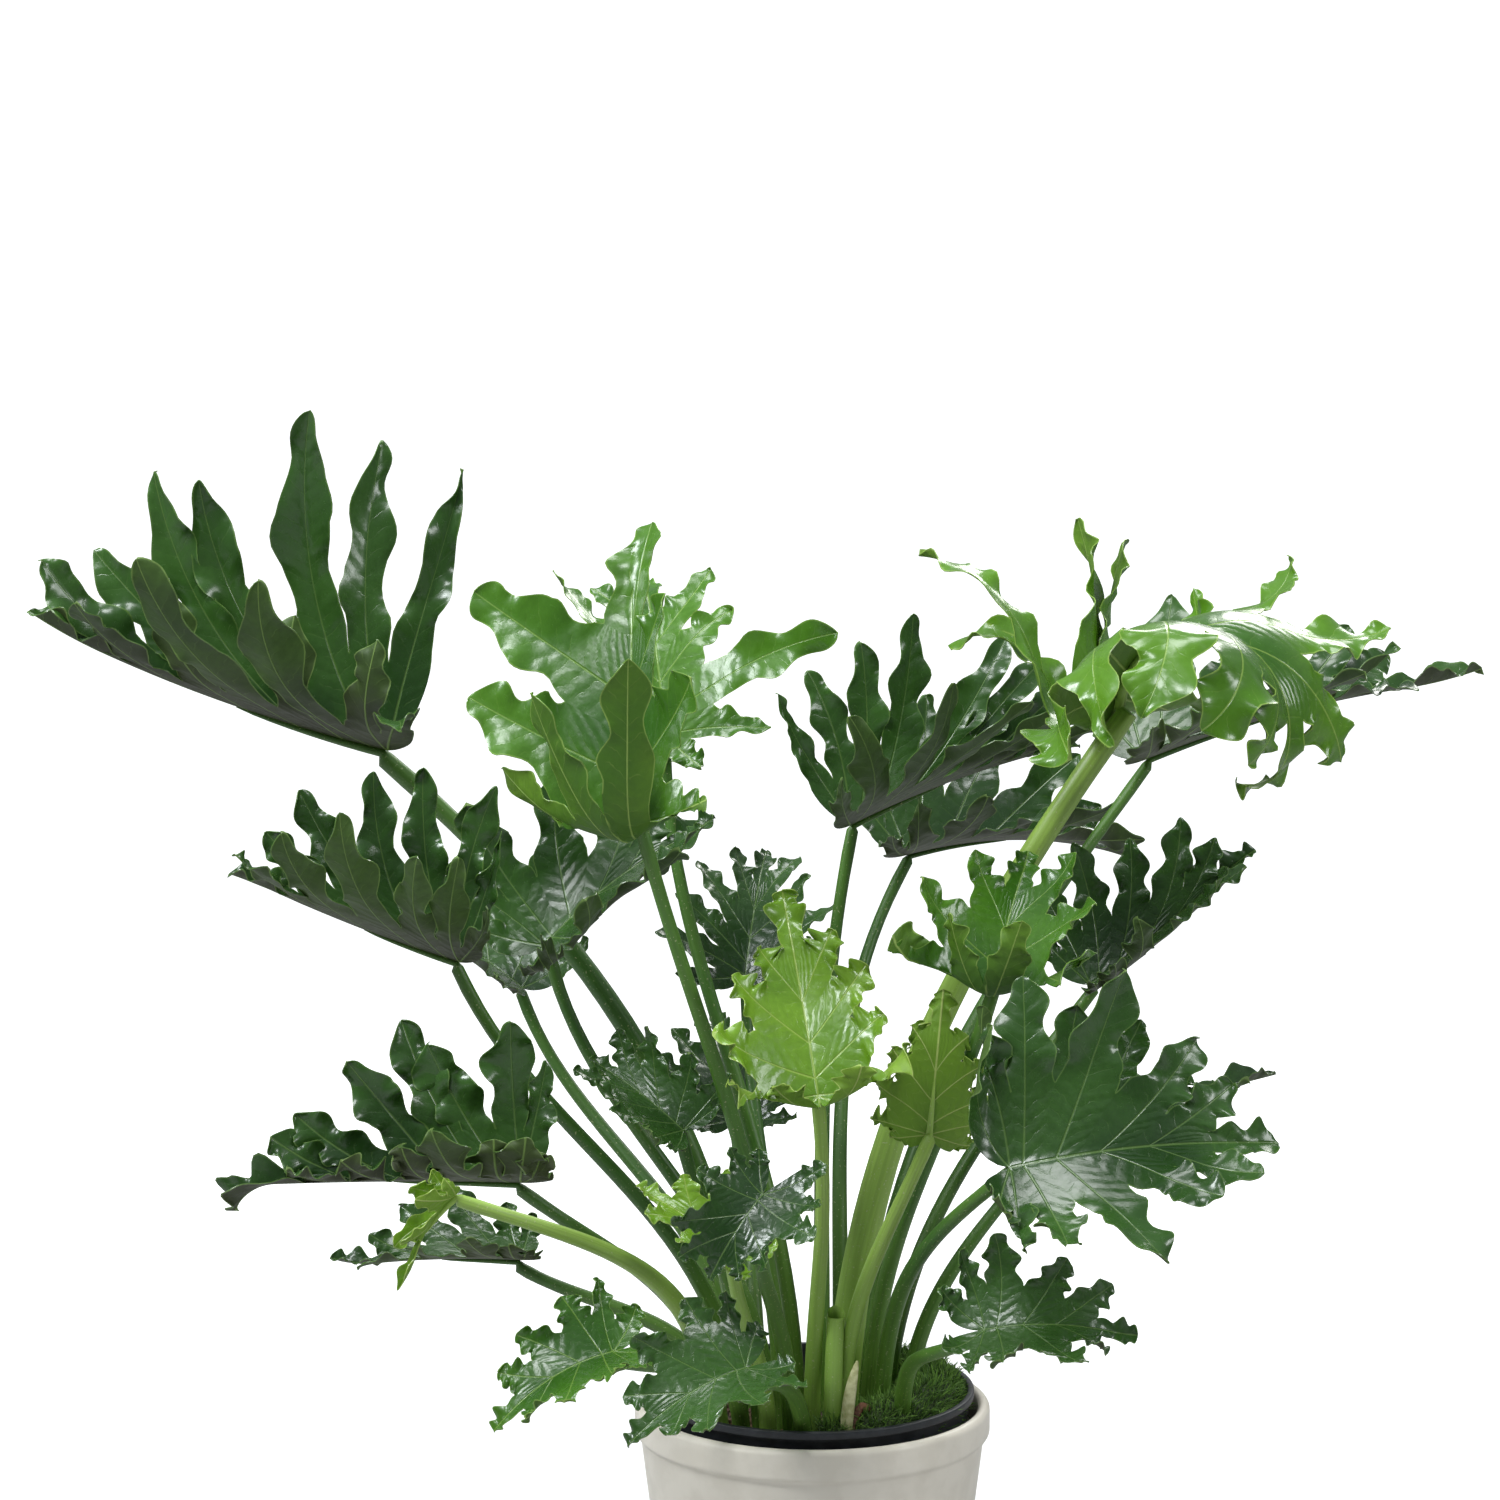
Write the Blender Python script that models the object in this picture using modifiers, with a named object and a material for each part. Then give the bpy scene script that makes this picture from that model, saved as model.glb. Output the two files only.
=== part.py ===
"""A split-leaf philodendron standing in its pot.

Twenty-seven lobed blades stand on stalks that rise from plain holes in the soil of a black
liner, which stands in a pale pot.  Metres, +Z up, the front faces -Y, and the origin is the
middle of the pot's base.
"""
from math import cos, pi, radians, sin

import bmesh
import bpy
import numpy as np
from mathutils import Vector

# Pot, liner and soil
POT_RADIUS = 0.180
POT_HEIGHT = 0.320
POT_FOOT_RADIUS = 0.138
POT_WALL = 0.009
POT_FLOOR = 0.012
RIM_DEPTH = 0.034
RIM_OUT = 0.006
LINER_RADIUS = 0.160
LINER_FOOT_RADIUS = 0.120
LINER_TOP = 0.334
LINER_WALL = 0.0022
SOIL_TOP = 0.306
ROUND_STEPS = 32
GAP = 0.0004

# Stalks
HOLE_DEPTH = 0.030
HOLE_ROOM = 0.0007
HOLE_SIDES = 6
STALK_CLEARANCE = 0.0015
JOINT_ROOM = 0.0034
STALK_POINTS = 6

# Blades
BLADE_THICKNESS = 0.0012
WEB_ROWS = 1
FREE_ROWS = 4
COLUMNS = (-1, 1)

# Moss, cut stalk and root
MOSS_FROM = -88
MOSS_TO = 62
MOSS_INNER = 0.096
MOSS_OUTER = 0.151
MOSS_HEIGHT = 0.044
CUT_STALK_PLACE = (0.017, -0.114)
CUT_STALK_TOP = 0.445
CUT_STALK_RADIUS = 0.0085
ROOT_RADIUS = 0.0045
ROOT_PATH = [(0.033, -0.132, 0.285), (0.034, -0.131, 0.314), (0.038, -0.126, 0.336),
             (0.046, -0.119, 0.346), (0.054, -0.110, 0.338), (0.058, -0.105, 0.316),
             (0.058, -0.104, 0.285)]

# Each leaf: where its blade meets its stalk, the blade's forward and up directions, its length,
# the stalk's foot in the soil, the direction it arrives by, its two radii and the leaf's tone.
LEAVES = {
    "high_left": dict(
        joint=(-0.435, 0.08, 0.974), forward=(-0.97, -0.1, 0.24), up=(0.1, -0.5, 0.87), length=0.38,
        foot=(-0.062, 0.012), arrive=(-0.75, 0.05, 0.65), thick=(0.013, 0.009), tone="dark", lobes=7,
        fold=50, cup=0.5, droop=0.3, back=1, cut=0.3, width=1.3, curl=-2, wave=0.016, seed=11, slim=1.3,
        spread=0.66, blunt=5.2,
        lobe={"R0": dict(reach=1.3, turn=-1, curl=-10), "R1": dict(reach=1.1, turn=-7, twist=35),
              "R2": dict(reach=1.03, turn=-8, wide=1.1), "R3": dict(turn=-13, wide=0.9),
              "R4": dict(turn=-9, wide=0.85), "R5": dict(reach=0.96, turn=-11, curl=-22),
              "R6": dict(reach=1.15, turn=-4, curl=10), "L0": dict(reach=0.85, curl=-45, twist=50),
              "L1": dict(reach=0.66, curl=60, twist=-40),
              "L2": dict(reach=0.92, curl=34, turn=-12, wide=1.15),
              "L3": dict(reach=0.56, curl=70, twist=30), "L4": dict(reach=0.95, curl=28, turn=-10),
              "L5": dict(reach=0.62, curl=60), "L6": dict(reach=0.8, curl=10)}),
    "top_middle": dict(
        joint=(-0.168, -0.24, 0.927), forward=(-0.06, 0.26, 0.96), up=(-0.5, -0.85, 0.25), length=0.31,
        foot=(-0.03, -0.055), arrive=(-0.25, -0.15, 1), thick=(0.009, 0.006), tone="mid", lobes=4,
        fold=20, cup=0.4, droop=-0.2, back=18, fan=2.6, cut=0.42, width=1, curl=4, wave=0.008, seed=5,
        slim=1.3, blunt=5.5, twist=14,
        lobe={"L0": dict(turn=26, reach=1.42, curl=4, wide=0.8),
              "R0": dict(turn=24, reach=1.5, curl=-4, wide=0.75),
              "L1": dict(turn=34, reach=1.25, curl=6, wide=0.85),
              "R1": dict(turn=-4, reach=0.6, curl=20), "L2": dict(turn=-4, reach=1.08, curl=0),
              "R2": dict(turn=-10, reach=0.8, curl=14), "L3": dict(turn=6, reach=1.15, curl=4),
              "R3": dict(turn=-6, reach=0.62, wide=0.7),
              "T": dict(reach=0.84, turn=10, wide=1.05, curl=-10, twist=0)}),
    "top_back": dict(
        joint=(-0.153, 0.19, 0.983), forward=(-0.1, 0.3, 0.95), up=(0.05, -0.9, 0.4), length=0.24,
        foot=(-0.015, 0.04), arrive=(0, 0.1, 1), thick=(0.009, 0.006), tone="mid", lobes=5, fold=14,
        cup=0.8, droop=-1, back=2, cut=0.36, width=1, curl=-16, wave=0.018, seed=7, slim=1.1, blunt=4,
        lobe={"T": dict(reach=1.1, curl=0), "L0": dict(reach=0.6), "L1": dict(reach=0.6),
              "L2": dict(reach=1.1), "L3": dict(reach=1.25, turn=-10, curl=10), "R0": dict(reach=0.5),
              "R1": dict(reach=0.75, turn=-12, curl=-40),
              "R2": dict(reach=1.35, turn=2, curl=-34, twist=40),
              "R3": dict(reach=0.85, turn=-6, curl=-30)}),
    "upper_left": dict(
        joint=(-0.341, -0.14, 0.786), forward=(-0.94, -0.12, 0.31), up=(0.15, -0.45, 0.9), length=0.23,
        foot=(-0.072, -0.045), arrive=(-0.4, 0, 0.9), thick=(0.009, 0.006), tone="dark", lobes=6,
        fold=46, cup=0.8, droop=0.2, back=2, cut=0.34, width=1.24, curl=-2, wave=0.024, blunt=4.2,
        seed=4, slim=1.4, spread=0.68),
    "inner_left": dict(
        joint=(-0.268, -0.02, 0.786), forward=(0.66, 0.18, 0.72), up=(-0.3, -0.7, 0.9), length=0.22,
        foot=(-0.042, -0.012), arrive=(-0.2, 0, 1), thick=(0.009, 0.006), tone="dark", lobes=6, fold=20,
        cup=1, droop=-0.6, back=2, cut=0.38, width=1.05, curl=12, wave=0.024, blunt=4.5, seed=9,
        slim=1.5, spread=0.85),
    "back_left": dict(
        joint=(-0.309, 0.22, 0.707), forward=(-0.68, 0.57, 0.46), up=(0, -0.4, 1), length=0.22,
        foot=(-0.07, 0.06), arrive=(-0.35, 0.1, 1), thick=(0.009, 0.006), tone="dark", lobes=5, fold=30,
        cup=1, droop=-0.4, back=2, cut=0.4, width=1.1, curl=10, wave=0.018, seed=10, slim=1.3,
        spread=0.8),
    "inner_right": dict(
        joint=(0.041, 0.1, 0.895), forward=(0.89, 0.15, 0.43), up=(-0.3, -0.55, 0.8), length=0.26,
        foot=(0.01, 0.02), arrive=(0.2, 0, 1), thick=(0.009, 0.006), tone="dark", lobes=7, fold=42,
        cup=0.8, droop=-0.3, back=1.5, cut=0.32, width=1.25, curl=4, wave=0.018, seed=13, slim=1.3,
        spread=0.68),
    "back_right": dict(
        joint=(0.111, 0.32, 0.841), forward=(0.95, 0.21, 0.23), up=(-0.1, -0.4, 0.9), length=0.28,
        foot=(0.03, 0.055), arrive=(0.5, 0.1, 0.9), thick=(0.009, 0.006), tone="dark", lobes=6, fold=32,
        cup=1, droop=-0.6, back=2, cut=0.36, width=0.95, curl=8, wave=0.016, seed=14, spread=0.8),
    "top_right": dict(
        joint=(0.289, -0.1, 1.024), forward=(0.06, -0.12, 0.99), up=(-0.78, 0.55, 0.1), length=0.35,
        foot=(0.028, -0.018), arrive=(0.55, 0, 0.8), thick=(0.018, 0.01), tone="fresh", lobes=7,
        fold=24, cup=-2.4, droop=-3.8, back=16, fan=2.9, cut=0.44, width=0.95, curl=-10, wave=0.02,
        seed=15, slim=1.6, twist=20,
        lobe={"L0": dict(turn=-6, reach=1.9, curl=0, wide=1.25, twist=0),
              "L1": dict(turn=22, reach=1.6, curl=36, wide=1.2),
              "L2": dict(reach=1.1, curl=100, turn=6), "L3": dict(reach=0.85, curl=125),
              "L4": dict(reach=0.9, curl=120), "L5": dict(reach=1.15, curl=95),
              "R0": dict(turn=20, reach=1.5, curl=-115, wide=0.95),
              "R1": dict(turn=44, reach=1.45, curl=-80, wide=0.9),
              "R2": dict(reach=0.8, turn=0, wide=1.2, curl=-30),
              "R3": dict(reach=1, curl=-25, wide=1.3), "R4": dict(reach=1.05, curl=-30, wide=1.35),
              "R5": dict(reach=1.1, curl=-35, wide=1.2), "T": dict(reach=1.1, curl=-50)}),
    "far_right": dict(
        joint=(0.37, 0.29, 0.949), forward=(0.92, 0.16, 0.35), up=(-0.38, -0.3, 0.9), length=0.4,
        foot=(0.052, 0.03), arrive=(0.55, 0.1, 0.75), thick=(0.009, 0.006), tone="dark", lobes=6,
        fold=26, cup=0.5, droop=-0.3, back=1.5, cut=0.3, width=0.74, curl=6, wave=0.016, seed=16,
        spread=0.66),
    "upper_right": dict(
        joint=(0.294, 0.13, 0.724), forward=(0.81, 0.1, 0.58), up=(-0.45, -0.6, 0.7), length=0.22,
        foot=(0.075, 0.01), arrive=(0.6, 0, 0.8), thick=(0.009, 0.006), tone="dark", lobes=6, fold=30,
        cup=1, droop=0.2, back=2, cut=0.42, width=1, curl=6, wave=0.022, seed=17, slim=1.4, spread=0.7),
    "middle_right": dict(
        joint=(0.163, -0.215, 0.772), forward=(0.22, 0.44, 0.87), up=(-0.2, -0.85, 0.5), length=0.16,
        foot=(0.055, -0.04), arrive=(0.3, -0.1, 1), thick=(0.009, 0.006), tone="mid", lobes=4, fold=15,
        cup=1, droop=-0.6, back=14, fan=2.2, cut=0.5, width=1.15, curl=14, wave=0.022, seed=18,
        slim=1.3, base_curl=4, blunt=4.2,
        lobe={"L0": dict(turn=20, reach=1.35), "R0": dict(turn=20, reach=1.3),
              "R1": dict(turn=16, reach=1.1)}),
    "big_right": dict(
        joint=(0.172, -0.312, 0.623), forward=(0.96, -0.1, 0.24), up=(-0.15, -0.8, 0.6), length=0.25,
        foot=(0.065, -0.075), arrive=(0.6, -0.45, 0.6), thick=(0.009, 0.006), tone="dark", lobes=6,
        fold=16, cup=0.4, droop=-0.6, back=8, fan=1.6, cut=0.42, width=0.98, curl=8, wave=0.016,
        seed=19, slim=1.5, spread=0.85, blunt=5.2,
        lobe={"L0": dict(reach=1.2, curl=20), "L1": dict(reach=1.12), "L2": dict(reach=1.05, curl=-10),
              "R1": dict(reach=0.7), "R0": dict(reach=0.7), "R2": dict(reach=0.75)}),
    "behind_right": dict(
        joint=(0.222, 0.02, 0.561), forward=(0.88, 0.2, 0.42), up=(-0.4, -0.5, 0.8), length=0.28,
        foot=(0.095, -0.01), arrive=(0.6, 0.1, 0.7), thick=(0.009, 0.006), tone="dark", lobes=5,
        fold=25, cup=0.8, droop=-0.4, back=1.5, cut=0.4, width=0.8, curl=8, wave=0.018, seed=20,
        spread=0.75),
    "young_right": dict(
        joint=(0.106, -0.2, 0.631), forward=(0.05, -0.41, 0.91), up=(0.1, 0.9, 0.3), length=0.14,
        foot=(0.025, -0.085), arrive=(0.35, -0.2, 0.9), thick=(0.009, 0.006), tone="young", lobes=5,
        fold=14, cup=0.8, droop=0.8, back=2, cut=0.66, width=0.82, curl=6, wave=0.024, blunt=4.5,
        seed=21, slim=1.6, spread=0.85),
    "young_middle": dict(
        joint=(0, -0.24, 0.676), forward=(-0.15, 0.37, 0.92), up=(0, -0.9, 0.35), length=0.2,
        foot=(-0.002, -0.085), arrive=(-0.1, -0.1, 1), thick=(0.009, 0.006), tone="young", lobes=5,
        fold=12, cup=1, droop=-0.5, back=14, fan=2.35, cut=0.6, width=0.8, curl=8, wave=0.024, seed=22,
        slim=1.6, base_curl=4, spread=0.8, blunt=4.5,
        lobe={"L0": dict(turn=28, reach=1.1), "R0": dict(turn=28, reach=1.15),
              "L1": dict(turn=20, reach=1.05), "R1": dict(turn=20, reach=1.05), "T": dict(reach=1.2)}),
    "middle_back": dict(
        joint=(-0.068, 0.22, 0.721), forward=(0.11, 0.42, 0.9), up=(-0.1, -0.9, 0.4), length=0.17,
        foot=(-0.03, 0.075), arrive=(0, 0.1, 1), thick=(0.009, 0.006), tone="dark", lobes=5, fold=15,
        cup=0.8, droop=-0.6, back=2, cut=0.36, width=1.1, curl=8, wave=0.018, seed=23, slim=1.3,
        spread=0.75),
    "big_left": dict(
        joint=(-0.278, -0.2, 0.585), forward=(-0.99, -0.15, 0.06), up=(0.05, -0.45, 0.9), length=0.285,
        foot=(-0.095, -0.05), arrive=(-0.8, 0, 0.6), thick=(0.009, 0.006), tone="dark", lobes=7,
        fold=44, cup=0.8, droop=-0.1, back=1.5, cut=0.36, width=0.86, curl=2, wave=0.024, blunt=4.8,
        seed=24, slim=1.45, spread=0.72, twist=34,
        lobe={"T": dict(reach=0.9, curl=-75, twist=0, wide=1.3),
              "L0": dict(reach=0.62, wide=1.3, curl=50),
              "L1": dict(reach=0.6, wide=1.35, curl=60, twist=0),
              "L2": dict(reach=0.56, wide=1.4, curl=70, twist=10),
              "L3": dict(reach=0.66, wide=1.3, curl=40, twist=-10),
              "L4": dict(reach=0.58, wide=1.3, curl=60), "L5": dict(reach=0.66, wide=1.2, curl=30),
              "L6": dict(reach=0.8), "R1": dict(reach=1.05, wide=1.25),
              "R2": dict(reach=0.95, wide=1.3, turn=-8)}),
    "low_left": dict(
        joint=(-0.297, 0.02, 0.458), forward=(-1, -0.05, 0.06), up=(0, -0.25, 1), length=0.19,
        foot=(-0.095, 0.01), arrive=(-0.8, 0, 0.5), thick=(0.009, 0.006), tone="dark", lobes=5, fold=28,
        cup=0.8, droop=-0.2, back=1.5, cut=0.38, width=0.9, curl=8, wave=0.016, blunt=4.5, seed=25,
        spread=0.72,
        lobe={"L0": dict(reach=0.6, wide=1.4, curl=20, twist=0),
              "L1": dict(reach=0.62, wide=1.4, curl=30, twist=0),
              "L2": dict(reach=0.7, wide=1.3, curl=20, twist=0), "L3": dict(reach=0.9, curl=30),
              "R0": dict(reach=0.7), "R1": dict(reach=0.7)}),
    "new_left": dict(
        joint=(-0.327, -0.34, 0.604), forward=(-0.73, -0.3, -0.61), up=(-0.5, -0.4, 0.6), length=0.1,
        foot=(-0.095, -0.078), arrive=(-0.9, -0.2, 0.35), thick=(0.012, 0.006), tone="young", lobes=3,
        fold=40, cup=2, droop=-1, back=3, cut=0.3, width=0.8, curl=30, wave=0.01, seed=26, spread=0.7),
    "front_left": dict(
        joint=(-0.128, -0.12, 0.619), forward=(-0.72, 0.24, 0.66), up=(0.2, -0.75, 0.65), length=0.12,
        foot=(-0.052, -0.085), arrive=(-0.2, -0.1, 1), thick=(0.009, 0.006), tone="dark", lobes=5,
        fold=20, cup=1, droop=-0.5, back=3, cut=0.48, width=1.15, curl=12, wave=0.024, blunt=4.8,
        seed=27, slim=1.4, spread=0.8, base_curl=20),
    "front_middle": dict(
        joint=(-0.052, -0.36, 0.609), forward=(-0.58, -0.58, -0.58), up=(0, -0.75, 0.6), length=0.09,
        foot=(-0.022, -0.108), arrive=(0.1, -0.6, 0.9), thick=(0.009, 0.006), tone="dark", lobes=5,
        fold=6, cup=0.8, droop=-1, back=1.5, cut=0.6, width=1.2, curl=6, wave=0.022, blunt=4.8, seed=28,
        slim=1.5,
        lobe={"L0": dict(reach=1.3), "L1": dict(reach=1.3)}),
    "young_front": dict(
        joint=(-0.078, -0.25, 0.53), forward=(-0.76, 0.13, 0.64), up=(0.3, -0.7, 0.6), length=0.11,
        foot=(-0.045, -0.118), arrive=(-0.1, -0.3, 1), thick=(0.009, 0.006), tone="young", lobes=4,
        fold=20, cup=1, droop=-0.5, back=2, cut=0.55, width=0.9, curl=10, wave=0.016, blunt=4.8,
        seed=29, slim=1.4),
    "bottom_left": dict(
        joint=(-0.188, -0.31, 0.453), forward=(-0.86, -0.5, -0.07), up=(-0.2, -0.55, 0.8), length=0.13,
        foot=(-0.07, -0.104), arrive=(-0.75, -0.5, 0.35), thick=(0.009, 0.006), tone="mid", lobes=5,
        fold=12, cup=0.8, droop=-1, back=2, cut=0.58, width=0.95, curl=10, wave=0.02, blunt=4.8,
        seed=30, slim=1.5),
    "bottom_middle": dict(
        joint=(-0.067, -0.36, 0.452), forward=(-0.77, -0.64, -0.03), up=(-0.1, -0.65, 0.75),
        length=0.13, foot=(-0.01, -0.135), arrive=(-0.1, -0.8, 0.5), thick=(0.009, 0.006), tone="dark",
        lobes=5, fold=12, cup=0.8, droop=-1, back=2, cut=0.6, width=0.95, curl=8, wave=0.018, blunt=4.8,
        seed=31, slim=1.5),
    "bottom_right": dict(
        joint=(0.151, -0.3, 0.471), forward=(0.95, -0.21, 0.23), up=(-0.1, -0.65, 0.75), length=0.14,
        foot=(0.085, -0.095), arrive=(0.75, -0.4, 0.45), thick=(0.009, 0.006), tone="dark", lobes=5,
        fold=15, cup=0.8, droop=-0.8, back=2, cut=0.5, width=0.95, curl=10, wave=0.02, blunt=4.8,
        seed=32, slim=1.5),
    "low_back": dict(
        joint=(-0.079, 0.24, 0.559), forward=(-0.12, 0.58, 0.81), up=(0, -0.8, 0.6), length=0.17,
        foot=(-0.055, 0.105), arrive=(-0.1, 0.3, 1), thick=(0.009, 0.006), tone="dark", lobes=5,
        fold=20, cup=0.8, droop=-0.8, back=2, cut=0.42, width=1, curl=10, wave=0.018, seed=33,
        spread=0.8),
}

# Lobes of one half of a blade, from the stalk to the tip: where each starts along the midrib,
# how far it turns from the forward direction in degrees, and its reach, in blade lengths.
# The last row of each plan is the end lobe's start and reach.
LOBE_PLANS = {
    7: dict(root=[0, 0, 0.04, 0.12, 0.24, 0.38, 0.53], turn=[150, 122, 98, 80, 64, 49, 34],
            reach=[0.46, 0.58, 0.66, 0.68, 0.64, 0.54, 0.42], end=(0.70, 0.32)),
    6: dict(root=[0, 0, 0.05, 0.17, 0.33, 0.51], turn=[148, 116, 90, 70, 52, 36],
            reach=[0.46, 0.58, 0.66, 0.66, 0.56, 0.43], end=(0.68, 0.34)),
    5: dict(root=[0, 0, 0.08, 0.25, 0.46], turn=[144, 108, 80, 58, 40],
            reach=[0.44, 0.56, 0.62, 0.58, 0.45], end=(0.64, 0.38)),
    4: dict(root=[0, 0, 0.14, 0.38], turn=[138, 96, 66, 43],
            reach=[0.42, 0.54, 0.60, 0.50], end=(0.58, 0.44)),
    3: dict(root=[0, 0, 0.26], turn=[130, 82, 48], reach=[0.42, 0.54, 0.54], end=(0.50, 0.50)),
}

# What a leaf has unless its own row above says otherwise.  Fold is how far each half rises at
# the midrib, cup how much more it bends outward, droop and back the bend of the midrib ahead of
# and behind the stalk, and fan the most that it bends behind it.  Cut is the share of a lobe that
# is webbed, curl the bend and twist the turn of a lobe beyond the web, blunt how late a lobe
# narrows, and wave the height of its margin's waves in blade lengths.  Fold, curl, base_curl and
# twist are degrees, and the other bends are radians in a blade length.  A lobe's own turn is
# added, its own reach and wide multiply, and its own curl and twist stand instead of the leaf's.
LEAF_DEFAULTS = dict(cup=0.8, droop=-0.4, back=2.0, fan=2.4, cut=0.42, width=1.0, curl=8, base_curl=None,
                     twist=38, blunt=4.0, wave=0.018, slim=1.3, spread=1.0, lobe={})


def unit(vectors):
    """Vectors divided by their own lengths."""
    return vectors / np.linalg.norm(vectors, axis=-1, keepdims=True)


def turning(axes, angles):
    """Rotation matrices about unit axes, by Rodrigues' formula: the identity times the cosine,
    plus the cross matrix times the sine, plus the outer product times one less the cosine."""
    x, y, z = np.moveaxis(axes, -1, 0)
    zero = np.zeros_like(x)
    cross = np.stack([zero, -z, y, z, zero, -x, -y, x, zero], -1).reshape(axes.shape[:-1] + (3, 3))
    outer = axes[..., :, None] * axes[..., None, :]
    c = np.cos(angles)[..., None, None]
    s = np.sin(angles)[..., None, None]
    return c * np.eye(3) + s * cross + (1 - c) * outer


def leaf_frame(leaf):
    """The joint, and the unit forward, up and right directions of a blade."""
    forward = unit(np.array(leaf["forward"], float))
    up = np.array(leaf["up"], float)
    up = unit(up - forward * (up @ forward))
    return np.array(leaf["joint"], float), forward, up, np.cross(forward, up)


def midrib_bend(leaf, along):
    """Turn, forward run and rise of the midrib at distances along it, in blade lengths.  Ahead
    of the stalk it is a circular arc of bend droop; behind it the turn is fan times the
    hyperbolic tangent of back times the distance over fan, summed up in small steps."""
    far = np.abs(along)
    steps = np.linspace(0, 1.6, 321)
    ahead = leaf["droop"] * steps
    behind = leaf["fan"] * np.tanh(leaf["back"] * steps / leaf["fan"])
    values = []
    for turn in (ahead, behind):
        for part in (turn, np.cos(turn), np.sin(turn)):
            mean = (part[1:] + part[:-1]) / 2
            total = part if part is turn else np.concatenate([[0], np.cumsum(mean)]) * steps[1]
            values.append(np.interp(far, steps, total))
    front = along >= 0
    turn, run, rise = (np.where(front, a, b) for a, b in zip(values[:3], values[3:]))
    return turn, run * np.where(front, 1, -1), rise


def lay(leaf, flat):
    """Flat blade points (right, forward), in blade lengths, put in space: along the bent
    midrib, each half leaving it at the fold angle and bending on outward as an arc of bend
    cup."""
    joint, forward, up, right = leaf_frame(leaf)
    side, along = flat[..., 0], flat[..., 1]
    turn, run, rise = midrib_bend(leaf, along)
    lean = turn * np.where(along >= 0, -1, 1)
    normal = np.cos(lean)[..., None] * up + np.sin(lean)[..., None] * forward
    fold = radians(leaf["fold"])
    cup = leaf["cup"]
    angle = fold + cup * np.abs(side)
    out = (np.sin(angle) - sin(fold)) / cup * np.sign(side)
    lift = (cos(fold) - np.cos(angle)) / cup
    return joint + leaf["length"] * (run[..., None] * forward + rise[..., None] * up
                                     + out[..., None] * right + lift[..., None] * normal)


def lobe_list(leaf, rng):
    """The blade's lobes in order around its edge, left base to tip to right base."""
    plan = LOBE_PLANS[leaf["lobes"]]
    halves = {}
    for side, letter in ((-1, "L"), (1, "R")):
        lobes = []
        for i, (root, turn, reach) in enumerate(zip(plan["root"], plan["turn"], plan["reach"])):
            own = leaf["lobe"].get(f"{letter}{i}", {})
            angle = radians(turn * leaf["spread"] + rng.uniform(-5, 5) + own.get("turn", 0))
            size = reach * leaf["width"] * (1 + rng.uniform(-0.14, 0.14)) * own.get("reach", 1)
            heading = np.array([side * sin(angle), cos(angle)])
            bow = -0.12 * side + rng.uniform(-0.16, 0.16)
            lobes.append(dict(start=np.array([0, root]), heading=heading, reach=size,
                              bow=bow, side=side, index=i, own=own))
        halves[side] = lobes
    own = leaf["lobe"].get("T", {})
    angle = radians(own.get("turn", 0))
    start, reach = plan["end"]
    tip = dict(start=np.array([0, start]), heading=np.array([sin(angle), cos(angle)]),
               reach=reach * own.get("reach", 1), bow=0, side=0, index=leaf["lobes"], own=own)
    return halves[-1] + [tip] + halves[1][::-1]


def vein(lobe, share):
    """Flat points along a lobe's main vein: a straight run plus a shallow bow of height bow
    times share times one less share, to the right of its heading."""
    share = np.asarray(share, float)[..., None]
    across = np.array([lobe["heading"][1], -lobe["heading"][0]])
    return (lobe["start"] + lobe["heading"] * lobe["reach"] * share
            + across * lobe["bow"] * lobe["reach"] * share * (1 - share))


def vein_right(lobe, share):
    """Flat unit directions to the right of a lobe's vein."""
    step = 0.001
    ahead = unit(vein(lobe, share + step) - vein(lobe, share - step))
    return np.stack([ahead[..., 1], -ahead[..., 0]], -1)


def free_shares(rows):
    """Shares of a lobe's free part, closer together toward its tip."""
    even = np.linspace(0, 1, rows + 1)
    return np.sin(even * pi / 2) if rows <= 5 else 1 - (1 - even) ** 1.35


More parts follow.
